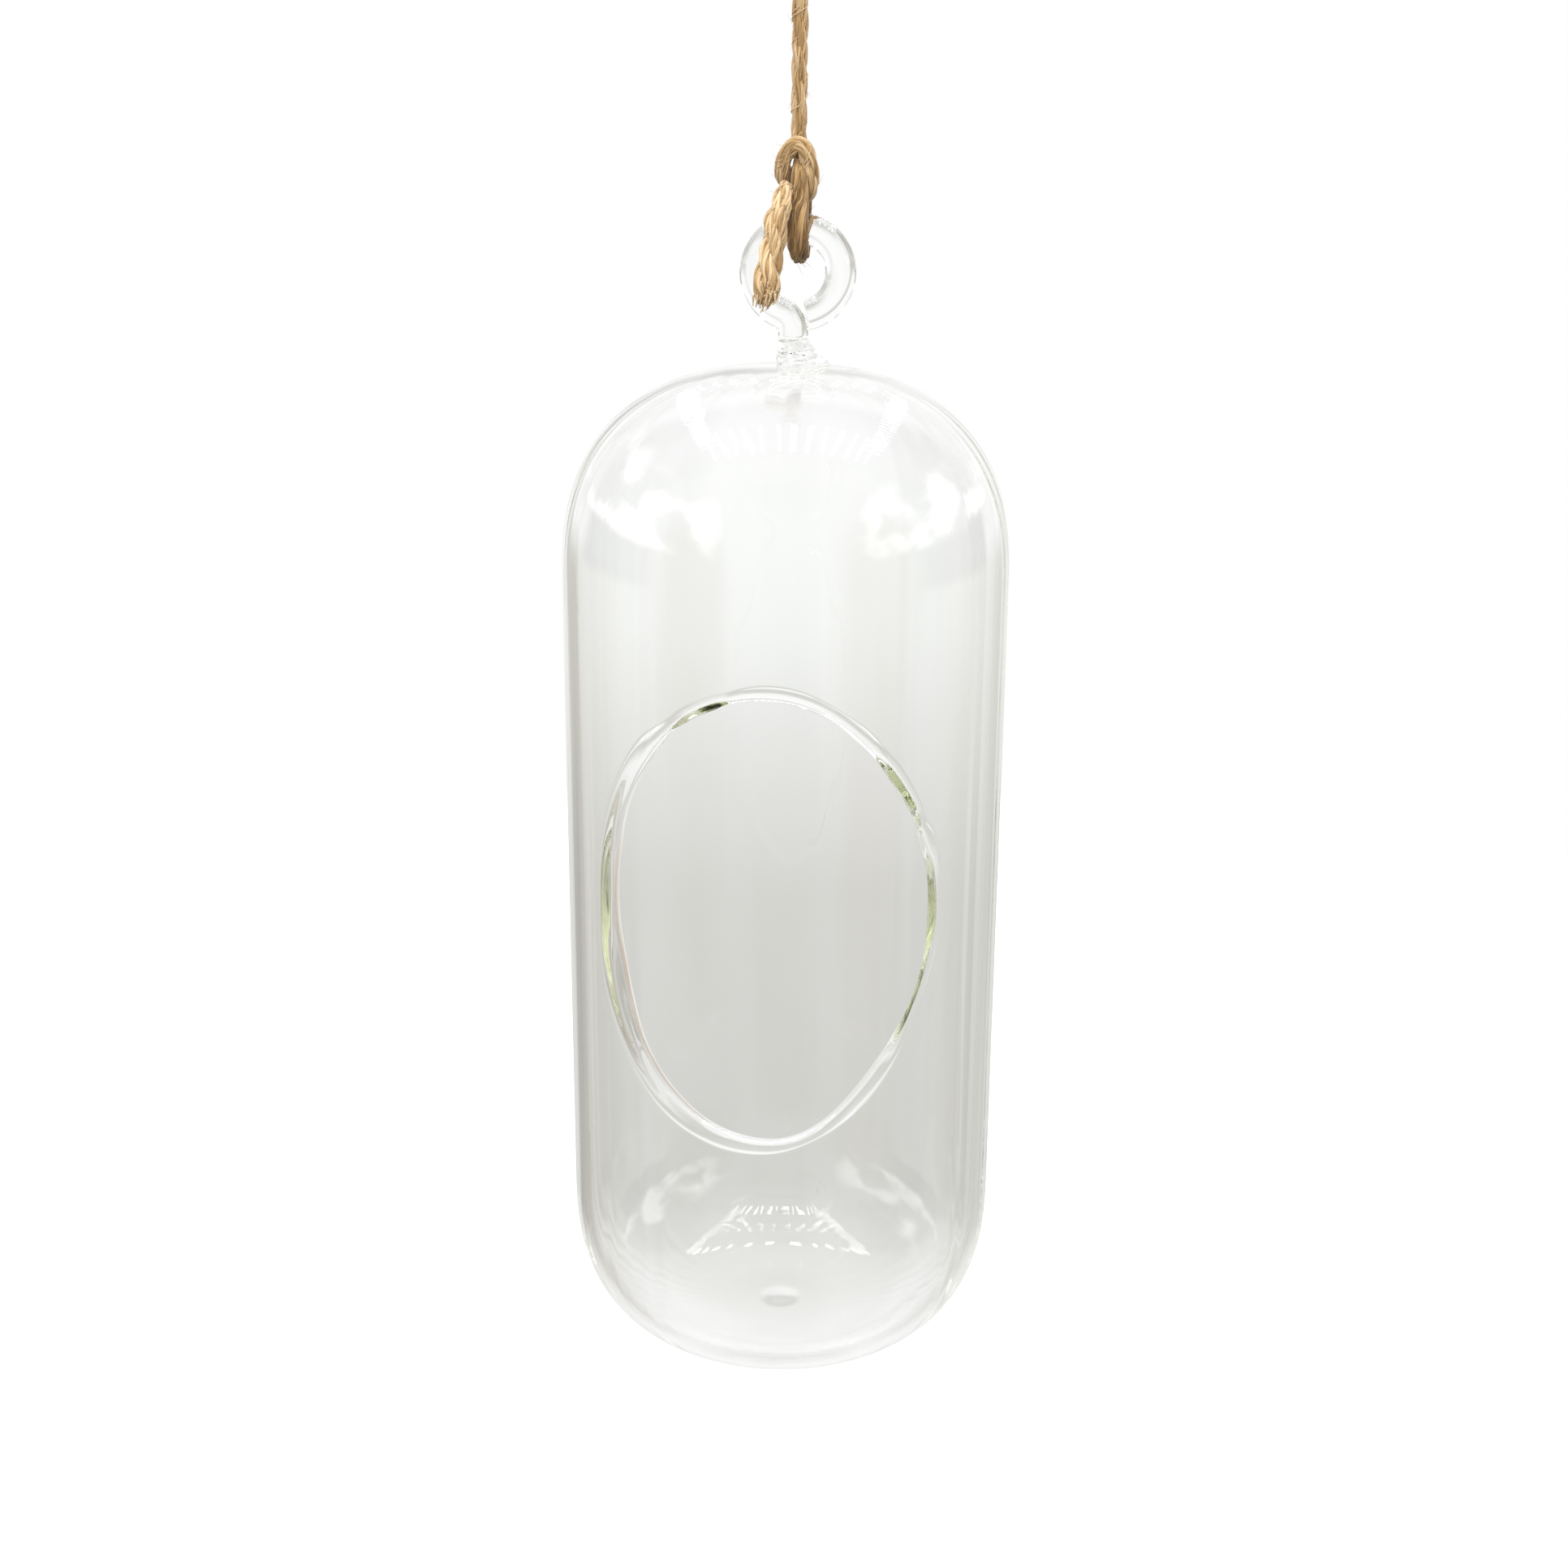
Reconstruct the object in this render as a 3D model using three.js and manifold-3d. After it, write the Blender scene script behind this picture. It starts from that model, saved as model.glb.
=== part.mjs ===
// Hanging glass terrarium: a blown glass capsule with an egg-shaped mouth in its front wall,
// a bent glass rod ring welded on its dome, and a jute cord tied through the ring.
// Millimetres, +Z up. The origin is the point where a hook carries the cord's eye, the cord
// hangs down the Z axis, and the mouth faces -Y.

import * as THREE from "three";
import { mergeVertices } from "three/addons/utils/BufferGeometryUtils.js";
import Module from "manifold-3d";

const wasm = await Module();
wasm.setup();

// Glass body
const BODY_DIAMETER = 54.6;
const BODY_HEIGHT = 127;
const WALL = 1.4;
const DOME_HEIGHT = 25.7;
const DOME_FULLNESS = 2.47;
const BASE_CORNER_HEIGHT = 21.5;
const BASE_FULLNESS = 2.65;
const BASE_FLAT_DIAMETER = 14;
const PONTIL_DIAMETER = 4.7;
const PONTIL_HEIGHT = 0.5;
// The vessel's axis stands off the hanging line, so that its weight hangs under the ring
const BODY_OFFSET_X = -1.2;
const BODY_OFFSET_Y = -1.8;

// Mouth in the front wall, measured along the wall: an oval drawn in across each quarter
const MOUTH_WIDTH = 42;
const MOUTH_HEIGHT = 55.2;
const MOUTH_CENTRE_HEIGHT = 65.8;
const MOUTH_TURN = THREE.MathUtils.degToRad(-5.25);
const MOUTH_DRAWN_IN = { upperRight: 0.06, upperLeft: 0.05, lowerLeft: 0, lowerRight: 0.11 };
const MOUTH_CUT_MARGIN = 7;
const RIM_DIAMETER = 2;

// Welded foot and bent rod ring on the dome
const FOOT_HEIGHT = 3;
const FOOT_FLARE_DIAMETER = 9;
const FOOT_FLARE_POWER = 3;
const FOOT_RIPPLE = 0.15;
const FOOT_RIPPLE_COUNT = 3;
const ROD_DIAMETER = 3.6;
const RING_OUTER_DIAMETER = 13.8;
const STEM_OFFSET = -0.5;
const STEM_STRAIGHT = 0.3;
const STEM_BEND_RADIUS = 2.6;
const RING_END_ANGLE = THREE.MathUtils.degToRad(-78);

// Jute cord
const CORD_DIAMETER = 1.8;
const CORD_RUN = 18;
const EYE_DROP = 22;
const EYE_WIDTH = 11;
// Side of the eye from its knot up, in shares of half its width and of its drop
const EYE_SHAPE = [[0.7, 0.62], [1, 0.3], [0.68, 0.05]];
const EYE_KNOT_HEIGHT = 6.4;
const EYE_KNOT_TURNS = 2.25;
// Coil of the eye's knot in cord radii: its reach across and deep, and its inset from the ends
const EYE_COIL = { across: 2.1, deep: 1.7, inset: 1.4 };
const RING_KNOT_HEIGHT = 7.6;
const KNOT_STRAIGHT = 1;
const LEG_DROP = 3.4;
const LEG_STRAIGHT = 0.6;
const FRAY_DIAMETER = 3.4;
const FRAY_LENGTH = 3.2;
const FRAY_NECK_DIAMETER = 1.62;

// Clearances between neighbouring pieces
const WELD_GAP = 0.3;
const CORD_GAP = 0.3;
const RING_GAP = 0.4;
const LEG_GAP = 0.45;

// Fineness of the facets
const BODY_SEGMENTS = 64;
const FOOT_SEGMENTS = 24;
const RIPPLE_STEPS = 4;
const CAP_STEPS = 10;
const MOUTH_STEPS = 96;
const RIM_SIDES = 10;
const ROD_SIDES = 14;
const HALF_ROD_STEPS = 28;
const CORD_SIDES = 8;
const COIL_TURN_STEPS = 12;
const EYE_KNOT_STRETCHES = 4;
const RING_KNOT_STRETCHES = 6;
const STRETCH_OVERLAP = 0.1;
const MERGE_DISTANCE = 1e-4;

// Sizes that follow from the driving dimensions
const bodyRadius = BODY_DIAMETER / 2;
const rodRadius = ROD_DIAMETER / 2;
const cordRadius = CORD_DIAMETER / 2;
const eyeLegOut = cordRadius + CORD_GAP / 2;
const ringRadius = (RING_OUTER_DIAMETER - ROD_DIAMETER) / 2;
const bendReach = STEM_BEND_RADIUS + ringRadius;
const bendAcross = STEM_OFFSET - STEM_BEND_RADIUS;
const ringAboveBend = Math.sqrt(bendReach ** 2 - bendAcross ** 2);

// Heights on the hanging line, from the eye down to the base
const eyeKnotTop = -EYE_DROP;
const cordTop = eyeKnotTop - EYE_KNOT_HEIGHT - CORD_GAP;
const cordBottom = cordTop - CORD_RUN;
const ringKnotTop = cordBottom - CORD_GAP;
const ringKnotBottom = ringKnotTop - RING_KNOT_HEIGHT;
const legTop = ringKnotBottom - LEG_GAP;
const ringRodHeight = legTop - LEG_DROP;
const ringCentre = ringRodHeight - ringRadius;
const bendHeight = ringCentre - ringAboveBend;
const footTop = bendHeight - STEM_STRAIGHT - WELD_GAP;
const domeTop = footTop - FOOT_HEIGHT;
const bodyBase = domeTop - BODY_HEIGHT;

const GLASS = new THREE.MeshStandardMaterial({ color: 0xe6ece9, roughness: 0.04, metalness: 0 });
const JUTE = new THREE.MeshStandardMaterial({ color: 0xb98f5c, roughness: 0.9, metalness: 0 });

// Solid of a closed geometry, with its shared vertices merged
function toSolid(geometry) {
  const bare = geometry.clone();
  bare.deleteAttribute("normal");
  bare.deleteAttribute("uv");
  const merged = mergeVertices(bare, MERGE_DISTANCE);
  const vertProperties = merged.attributes.position.array;
  const triVerts = new Uint32Array(merged.index.array);
  return new wasm.Manifold(new wasm.Mesh({ numProp: 3, vertProperties, triVerts }));
}

function toGeometry(solid) {
  const { vertProperties, triVerts } = solid.getMesh();
  const geometry = new THREE.BufferGeometry();
  geometry.setAttribute("position", new THREE.BufferAttribute(vertProperties, 3));
  geometry.setIndex(new THREE.BufferAttribute(triVerts, 1));
  geometry.computeVertexNormals();
  return geometry;
}

function named(name, geometry, material) {
  const mesh = new THREE.Mesh(geometry, material);
  mesh.name = name;
  return mesh;
}

// Largest piece of a solid by itself, with any hollow that it closes off filled in
function outerSkin(solid) {
  return solid.decompose().reduce((a, b) => (a.volume() > b.volume() ? a : b));
}

// Solid of revolution about Z from points of radius and height, bottom to top
function revolve(points, segments) {
  const profile = points.map(([radius, height]) => new THREE.Vector2(radius, height));
  const geometry = new THREE.LatheGeometry(profile, segments);
  return toSolid(geometry.rotateX(Math.PI / 2));
}

// Rounded corner from a flat of the given radius to the wall, as points of radius and height
function corner(flatRadius, outerRadius, height, fullness) {
  const power = 2 / fullness;
  return Array.from({ length: CAP_STEPS + 1 }, (_, i) => {
    const angle = (Math.PI / 2) * (1 - i / CAP_STEPS);
    const radius = flatRadius + (outerRadius - flatRadius) * Math.max(Math.cos(angle), 0) ** power;
    return [radius, height * (1 - Math.sin(angle) ** power)];
  });
}

// Low dome that the pontil leaves in the middle of a base, as points of radius and height
function pontilMark(rise) {
  return [0, 0.5, 1].map((out) => [(out * PONTIL_DIAMETER) / 2, rise * (1 - out ** 2)]);
}

// Capsule with a flat-bottomed base and a domed top, grown outwards all round by an offset
function capsule(offset, centreRise = 0) {
  const radius = bodyRadius + offset;
  const base = corner(BASE_FLAT_DIAMETER / 2, radius, BASE_CORNER_HEIGHT + offset, BASE_FULLNESS);
  const dome = corner(0, radius, DOME_HEIGHT + offset, DOME_FULLNESS);
  const middle = centreRise > 0 ? pontilMark(centreRise) : [[0, 0]];
  const low = [...middle, ...base].map(([r, h]) => [r, h - offset]);
  const high = dome.reverse().map(([r, h]) => [r, BODY_HEIGHT + offset - h]);
  return revolve([...low, ...high], BODY_SEGMENTS);
}

// Point of the mouth's outline on the wall, as the angle round the body and the height
function mouthPoint(turn) {
  const across = Math.cos(turn);
  const up = Math.sin(turn);
  const quarter = (up >= 0 ? "upper" : "lower") + (across >= 0 ? "Right" : "Left");
  const size = 1 - MOUTH_DRAWN_IN[quarter] * Math.sin(2 * turn) ** 2;
  const angle = MOUTH_TURN + (size * across * MOUTH_WIDTH) / 2 / bodyRadius;
  return { angle, height: MOUTH_CENTRE_HEIGHT + (size * up * MOUTH_HEIGHT) / 2 };
}

// Outer radius of the body at a height above its base
function wallRadius(height) {
  const intoBase = Math.max(BASE_CORNER_HEIGHT - height, 0) / BASE_CORNER_HEIGHT;
  const intoDome = Math.max(height - BODY_HEIGHT + DOME_HEIGHT, 0) / DOME_HEIGHT;
  const baseFlat = BASE_FLAT_DIAMETER / 2;
  const baseShare = (1 - intoBase ** BASE_FULLNESS) ** (1 / BASE_FULLNESS);
  const domeShare = (1 - intoDome ** DOME_FULLNESS) ** (1 / DOME_FULLNESS);
  return Math.min(baseFlat + (bodyRadius - baseFlat) * baseShare, bodyRadius * domeShare);
}

// Point of the wall at an angle round the body, moved outwards from the outer face
function onWall({ angle, height }, outwards) {
  const radius = wallRadius(height) + outwards;
  return new THREE.Vector3(radius * Math.sin(angle), -radius * Math.cos(angle), height);
}

const mouthTurns = Array.from(
  { length: MOUTH_STEPS },
  (_, i) => (2 * Math.PI * (i + 0.5)) / MOUTH_STEPS,
);

// Plug that cuts the mouth square through the wall, its sides running out from the axis
function mouthPlug() {
  const reach = WALL + MOUTH_CUT_MARGIN;
  const centre = { angle: MOUTH_TURN, height: MOUTH_CENTRE_HEIGHT };
  const ring = (outwards) => mouthTurns.map((turn) => onWall(mouthPoint(turn), outwards));
  const vertices = [...ring(-reach), ...ring(reach), onWall(centre, -reach), onWall(centre, reach)];
  const faces = mouthTurns.flatMap((_, i) => {
    const next = (i + 1) % MOUTH_STEPS;
    const far = MOUTH_STEPS + i;
    const farNext = MOUTH_STEPS + next;
    const innerApex = 2 * MOUTH_STEPS;
    return [i, next, farNext, i, farNext, far, innerApex, next, i, innerApex + 1, far, farNext];
  });
  return toSolid(new THREE.BufferGeometry().setFromPoints(vertices).setIndex(faces));
}

// Fire-polished bead round the mouth, centred in the wall
function mouthRim() {
  const centres = mouthTurns.map((turn) => onWall(mouthPoint(turn), -WALL / 2));
  const vertices = centres.flatMap((point, i) => {
    const before = centres[(i + MOUTH_STEPS - 1) % MOUTH_STEPS];
    const after = centres[(i + 1) % MOUTH_STEPS];
    const along = after.clone().sub(before).normalize();
    const outward = new THREE.Vector3(point.x, point.y, 0).normalize();
    const sideways = new THREE.Vector3().crossVectors(along, outward).normalize();
    outward.crossVectors(sideways, along);
    return Array.from({ length: RIM_SIDES }, (_, k) => {
      const angle = (2 * Math.PI * k) / RIM_SIDES;
      return point
        .clone()
        .addScaledVector(outward, (RIM_DIAMETER / 2) * Math.cos(angle))
        .addScaledVector(sideways, (RIM_DIAMETER / 2) * Math.sin(angle));
    });
  });
  const faces = centres.flatMap((_, i) =>
    Array.from({ length: RIM_SIDES }, (_, k) => {
      const next = ((i + 1) % MOUTH_STEPS) * RIM_SIDES;
      const a = i * RIM_SIDES + k;
      const b = i * RIM_SIDES + ((k + 1) % RIM_SIDES);
      const c = next + k;
      const d = next + ((k + 1) % RIM_SIDES);
      return [a, b, d, a, d, c];
    }).flat(),
  );
  return toSolid(new THREE.BufferGeometry().setFromPoints(vertices).setIndex(faces));
}

// Hollow capsule, opened by the mouth, with the polished rim round the cut
function glassBody() {
  const shell = capsule(0).subtract(capsule(-WALL, PONTIL_HEIGHT));
  return shell.subtract(mouthPlug()).add(mouthRim());
}

// Flared foot that welds the stem to the dome, rippled by the flame
function weldFoot() {
  const steps = RIPPLE_STEPS * FOOT_RIPPLE_COUNT;
  const flare = FOOT_FLARE_DIAMETER / 2 - rodRadius;
  const side = Array.from({ length: steps + 1 }, (_, i) => {
    const up = i / steps;
    const ripple = FOOT_RIPPLE * Math.sin(2 * Math.PI * FOOT_RIPPLE_COUNT * up) * (1 - up);
    return [rodRadius + flare * (1 - up) ** FOOT_FLARE_POWER + ripple, FOOT_HEIGHT * up];
  });
  const sunk = -FOOT_HEIGHT;
  const profile = [[0, sunk], [rodRadius + flare, sunk], ...side, [0, FOOT_HEIGHT]];
  const domePlace = [BODY_OFFSET_X - STEM_OFFSET, BODY_OFFSET_Y, -BODY_HEIGHT];
  return revolve(profile, FOOT_SEGMENTS).subtract(capsule(WELD_GAP).translate(domePlace));
}

// Centre line of the rod: up the stem, round a bend to the left, then clockwise round the ring
class RodPath extends THREE.Curve {
  constructor(from, to) {
    super();
    this.from = from;
    this.to = to;
    this.bendAngle = Math.atan2(ringAboveBend, -bendAcross);
    this.stemLength = STEM_STRAIGHT;
    this.bendLength = STEM_BEND_RADIUS * this.bendAngle;
    this.startAngle = Math.PI + this.bendAngle;
    this.ringLength = ringRadius * (this.startAngle - RING_END_ANGLE);
    this.total = this.stemLength + this.bendLength + this.ringLength;
  }

  getPoint(t, target = new THREE.Vector3()) {
    const run = THREE.MathUtils.lerp(this.from, this.to, t) * this.total;
    if (run <= this.stemLength) {
      return target.set(STEM_OFFSET, 0, bendHeight - this.stemLength + run);
    }
    const bent = run - this.stemLength;
    if (bent <= this.bendLength) {
      const angle = bent / STEM_BEND_RADIUS;
      const across = bendAcross + STEM_BEND_RADIUS * Math.cos(angle);
      return target.set(across, 0, bendHeight + STEM_BEND_RADIUS * Math.sin(angle));
    }
    const angle = this.startAngle - (bent - this.bendLength) / ringRadius;
    return target.set(ringRadius * Math.cos(angle), 0, ringCentre + ringRadius * Math.sin(angle));
  }
}

// Round section swept along a path
function rod(path, radius, sides, steps) {
  const section = new THREE.Shape();
  section.setFromPoints(
    Array.from({ length: sides }, (_, k) => {
      const angle = (2 * Math.PI * (k + 0.5)) / sides;
      return new THREE.Vector2(radius * Math.cos(angle), radius * Math.sin(angle));
    }),
  );
  return new THREE.ExtrudeGeometry(section, { steps, extrudePath: path, bevelEnabled: false });
}

// Ring bent from one rod, its end laid against the stem where it started
function hangingRing() {
  const rise = toSolid(rod(new RodPath(0, 0.5), rodRadius, ROD_SIDES, HALF_ROD_STEPS));
  const fall = toSolid(rod(new RodPath(0.5, 1), rodRadius, ROD_SIDES, HALF_ROD_STEPS));
  return rise.add(fall);
}

// Part of a longer curve
class Stretch extends THREE.Curve {
  constructor(whole, from, to) {
    super();
    Object.assign(this, { whole, from, to });
  }

  getPoint(t, target) {
    return this.whole.getPoint(THREE.MathUtils.lerp(this.from, this.to, t), target);
  }
}

// Smooth curve through the points of a cord
function route(points) {
  const vectors = points.map((point) => new THREE.Vector3(...point));
  return new THREE.CatmullRomCurve3(vectors, false, "centripetal");
}

// Cord along a path, with a step to each diameter of its length
function cordTube(path) {
  const steps = Math.ceil(path.getLength() / CORD_DIAMETER);
  return rod(path, cordRadius, CORD_SIDES, steps);
}

// Strand that crosses itself, joined from stretches that overlap a little
function knottedStrand(path, stretches, end = 1) {
  const length = end / stretches;
  const overlap = STRETCH_OVERLAP * length;
  const pieces = Array.from({ length: stretches }, (_, i) => {
    const from = Math.max(i * length - overlap, 0);
    return toSolid(cordTube(new Stretch(path, from, (i + 1) * length)));
  });
  return pieces.reduce((whole, piece) => whole.add(piece));
}

// Eye at the top of the cord, a drop-shaped loop that a hook goes through
function eyeLoop() {
  const side = [
    [eyeLegOut, 0, eyeKnotTop],
    [eyeLegOut, 0, eyeKnotTop + KNOT_STRAIGHT],
    ...EYE_SHAPE.map(([out, down]) => [(out * EYE_WIDTH) / 2, 0, -down * EYE_DROP]),
  ];
  const mirrored = side.map(([x, y, z]) => [-x, y, z]).reverse();
  return cordTube(route([...side, [0, 0, cordRadius], ...mirrored]));
}

// Knot below the eye: the cord's end wound round the two legs of the loop
function eyeKnot() {
  const top = eyeKnotTop - CORD_GAP;
  const bottom = eyeKnotTop - EYE_KNOT_HEIGHT;
  const [left, right] = [-eyeLegOut, eyeLegOut].map((x) => {
    const entry = [[x, 0, top], [x, 0, top - KNOT_STRAIGHT]];
    return toSolid(cordTube(route([...entry, [0, 0, bottom + KNOT_STRAIGHT], [0, 0, bottom]])));
  });
  const inset = EYE_COIL.inset * cordRadius;
  const steps = Math.round(COIL_TURN_STEPS * EYE_KNOT_TURNS);
  const coil = Array.from({ length: steps + 1 }, (_, i) => {
    const turn = 2 * Math.PI * EYE_KNOT_TURNS * (i / steps);
    const across = EYE_COIL.across * cordRadius * Math.cos(turn);
    const deep = EYE_COIL.deep * cordRadius * Math.sin(turn);
    return [across, deep, THREE.MathUtils.lerp(top - inset, bottom + inset, i / steps)];
  });
  return outerSkin(left.add(right).add(knottedStrand(route(coil), EYE_KNOT_STRETCHES)));
}

// Taut run of cord between the two knots
function hangingCord() {
  const top = new THREE.Vector3(0, 0, cordTop);
  const bottom = new THREE.Vector3(0, 0, cordBottom);
  return cordTube(new THREE.LineCurve3(top, bottom));
}

// Where the loop through the ring leaves the knot, in front of the rod and behind it
const FRONT_LEG = [0, -2];
const REAR_LEG = [0.6, 2];

// The cord's end above the ring: the loop's front leg goes in under the coil, round behind the
// cord, up the left, over the top and down the right, crosses behind itself and leaves as the
// tail, which hangs in front of the ring, clear of its swing. Heights from the knot's underside
const KNOT_ROUTE = [
  [...FRONT_LEG, 0],
  [...FRONT_LEG, KNOT_STRAIGHT],
  [-0.1, -1.9, 2.6],
  [0, -0.6, 4],
  [-0.6, 1, 3.6],
  [-1.7, 0.9, 2.2],
  [-2.1, -0.4, 3.4],
  [-1.8, -1.1, 5.3],
  [-0.3, -1.5, 6.5],
  [1.2, -1.4, 5.5],
  [1.9, -1, 3.6],
  [1.7, -0.3, 1.9],
  [0.4, -0.3, 1.3],
  [-0.9, -1.4, 1.7],
  [-1.5, -2.7, 1.4],
];
const TAIL_ROUTE = [
  [-1.9, -4.3, -0.4],
  [-2.5, -5.6, -2.6],
  [-2.9, -6.6, -5.6],
  [-3.5, -7.4, -8.8],
  [-3.7, -7.9, -11.2],
];
// The cord's standing part, down through the knot to the loop's rear leg
const STANDING_ROUTE = [
  [0, 0, RING_KNOT_HEIGHT],
  [0, 0.1, RING_KNOT_HEIGHT - 1.2],
  [0.3, 0.8, RING_KNOT_HEIGHT - 3.4],
  [...REAR_LEG, KNOT_STRAIGHT],
  [...REAR_LEG, 0],
];

// Smooth curve through points whose heights are given from the knot's underside
function knotRoute(points) {
  return route(points.map(([x, y, z]) => [x, y, ringKnotBottom + z]));
}

const workingEnd = knotRoute([...KNOT_ROUTE, ...TAIL_ROUTE]);
const pointStep = 1 / (KNOT_ROUTE.length + TAIL_ROUTE.length - 1);
const knotExit = (KNOT_ROUTE.length - 1) * pointStep;

// Knot above the ring: the standing part with the cord's end wound round it
function ringKnot() {
  const standing = toSolid(cordTube(knotRoute(STANDING_ROUTE)));
  return outerSkin(standing.add(knottedStrand(workingEnd, RING_KNOT_STRETCHES, knotExit)));
}

// Free tail of the cord, flared at its end where the plies come apart
function cordTail() {
  const exitPoint = workingEnd.getPoint(knotExit);
  const stepLength = exitPoint.distanceTo(workingEnd.getPoint(knotExit + pointStep));
  const start = knotExit + (pointStep * CORD_GAP) / stepLength;
  const insideTuft = 1 - pointStep / 4;
  const out = workingEnd.getTangent(1);
  const [wide, neck] = [FRAY_DIAMETER / 2, FRAY_NECK_DIAMETER / 2];
  const tuft = new THREE.CylinderGeometry(wide, neck, FRAY_LENGTH, CORD_SIDES);
  tuft.applyQuaternion(new THREE.Quaternion().setFromUnitVectors(new THREE.Vector3(0, 1, 0), out));
  const middle = workingEnd.getPoint(1).addScaledVector(out, -FRAY_LENGTH / 2);
  tuft.translate(middle.x, middle.y, middle.z);
  return toSolid(cordTube(new Stretch(workingEnd, start, insideTuft))).add(toSolid(tuft));
}

// Loop of cord that carries the ring, round the rod with room for the ring to swing
function ringBight() {
  const reach = rodRadius + RING_GAP + cordRadius;
  const slant = reach * Math.SQRT1_2;
  const [frontX, frontY] = FRONT_LEG;
  const [rearX, rearY] = REAR_LEG;
  const middleX = (frontX + rearX) / 2;
  return cordTube(
    route([
      [frontX, frontY, legTop],
      [frontX, frontY, legTop - LEG_STRAIGHT],
      [frontX, -reach, ringRodHeight],
      [frontX, -slant, ringRodHeight - slant],
      [middleX, 0, ringRodHeight - reach],
      [rearX, slant, ringRodHeight - slant],
      [rearX, reach, ringRodHeight],
      [rearX, rearY, legTop - LEG_STRAIGHT],
      [rearX, rearY, legTop],
    ]),
  );
}

const terrarium = new THREE.Group();

const vessel = new THREE.Group();
vessel.position.set(BODY_OFFSET_X, BODY_OFFSET_Y, bodyBase);
vessel.add(named("glass_body", toGeometry(glassBody()), GLASS));

const foot = new THREE.Group();
foot.position.set(STEM_OFFSET, 0, domeTop);
foot.add(named("weld_foot", toGeometry(weldFoot()), GLASS));

terrarium.add(vessel, foot);
terrarium.add(named("hanging_ring", toGeometry(hangingRing()), GLASS));
terrarium.add(named("eye_loop", eyeLoop(), JUTE));
terrarium.add(named("eye_knot", toGeometry(eyeKnot()), JUTE));
terrarium.add(named("hanging_cord", hangingCord(), JUTE));
terrarium.add(named("ring_knot", toGeometry(ringKnot()), JUTE));
terrarium.add(named("ring_bight", ringBight(), JUTE));
terrarium.add(named("cord_tail", toGeometry(cordTail()), JUTE));

export default terrarium;
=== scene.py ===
"""Looks of a hanging glass terrarium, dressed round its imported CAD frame.

Sizes are in millimetres until a mesh is made; Blender and the frame are in metres. The origin is
the point where a hook carries the cord's eye, +Z is up and the vessel's mouth faces -Y.
"""

import logging
import math
from dataclasses import dataclass, field
from enum import Enum

import bpy
import numpy as np
from mathutils import Matrix, Vector

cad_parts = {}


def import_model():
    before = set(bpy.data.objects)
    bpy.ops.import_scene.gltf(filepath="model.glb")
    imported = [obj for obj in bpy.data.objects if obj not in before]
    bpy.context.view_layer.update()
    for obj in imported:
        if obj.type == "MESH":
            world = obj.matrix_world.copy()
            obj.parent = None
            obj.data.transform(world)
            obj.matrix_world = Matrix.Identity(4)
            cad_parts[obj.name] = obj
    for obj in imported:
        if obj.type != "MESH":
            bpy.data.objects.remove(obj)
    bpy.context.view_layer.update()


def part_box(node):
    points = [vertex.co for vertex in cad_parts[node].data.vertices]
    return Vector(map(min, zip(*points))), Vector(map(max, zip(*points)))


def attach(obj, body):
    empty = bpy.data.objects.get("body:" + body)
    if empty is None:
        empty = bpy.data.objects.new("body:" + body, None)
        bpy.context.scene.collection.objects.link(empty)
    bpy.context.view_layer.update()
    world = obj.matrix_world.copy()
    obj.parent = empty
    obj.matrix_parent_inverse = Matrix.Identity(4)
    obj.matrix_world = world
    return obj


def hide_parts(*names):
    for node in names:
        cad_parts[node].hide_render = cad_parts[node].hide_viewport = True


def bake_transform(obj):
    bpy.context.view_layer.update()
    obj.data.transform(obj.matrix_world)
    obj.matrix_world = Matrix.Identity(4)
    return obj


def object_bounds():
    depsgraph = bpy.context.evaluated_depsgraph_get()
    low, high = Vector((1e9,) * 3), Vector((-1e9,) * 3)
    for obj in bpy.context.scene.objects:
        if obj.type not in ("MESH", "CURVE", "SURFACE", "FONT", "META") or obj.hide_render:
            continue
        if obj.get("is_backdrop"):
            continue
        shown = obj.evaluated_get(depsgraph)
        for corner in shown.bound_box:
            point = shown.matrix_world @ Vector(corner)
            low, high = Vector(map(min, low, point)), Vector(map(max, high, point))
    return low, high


LOG = logging.getLogger("terrarium")
MM = 0.001
FULL_TURN = 2 * math.pi
PHOTO_PIXELS = 1932
PLATE_CORNERS = ((-1, -1), (1, -1), (1, 1), (-1, 1))
GLASS_BOUNCES = 200

Piece = bpy.types.Object
Material = bpy.types.Material
Socket = bpy.types.NodeSocket
Points = np.ndarray
Faces = list[tuple[int, ...]]
Span = tuple[float, float]
Place = tuple[float, float, float]
Route = list[Place]
Colour = tuple[float, float, float]
Stops = tuple[tuple[float, float | Colour], ...]
WHITE: Colour = (1.0, 1.0, 1.0)
BLACK: Colour = (0.0, 0.0, 0.0)
CURVE_STEPS = 40
STEEP = 0.9
TINY = 1e-12
MIX_INPUTS = (0, 6, 7)
MIX_OUTPUT = 2


class Body(Enum):
    """Bodies of the frame that pieces ride on."""

    HANGER = "hanger"
    KNOT = "knot"
    LOOP = "loop"
    GLASS = "glass"


class Slot(Enum):
    """Material slots of the record."""

    GLASS = "clear_glass"
    JUTE = "jute"


class Lay(Enum):
    """Hand of a twist, as the sign of its turn along the cord."""

    LEFT = -1
    RIGHT = 1


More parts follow.
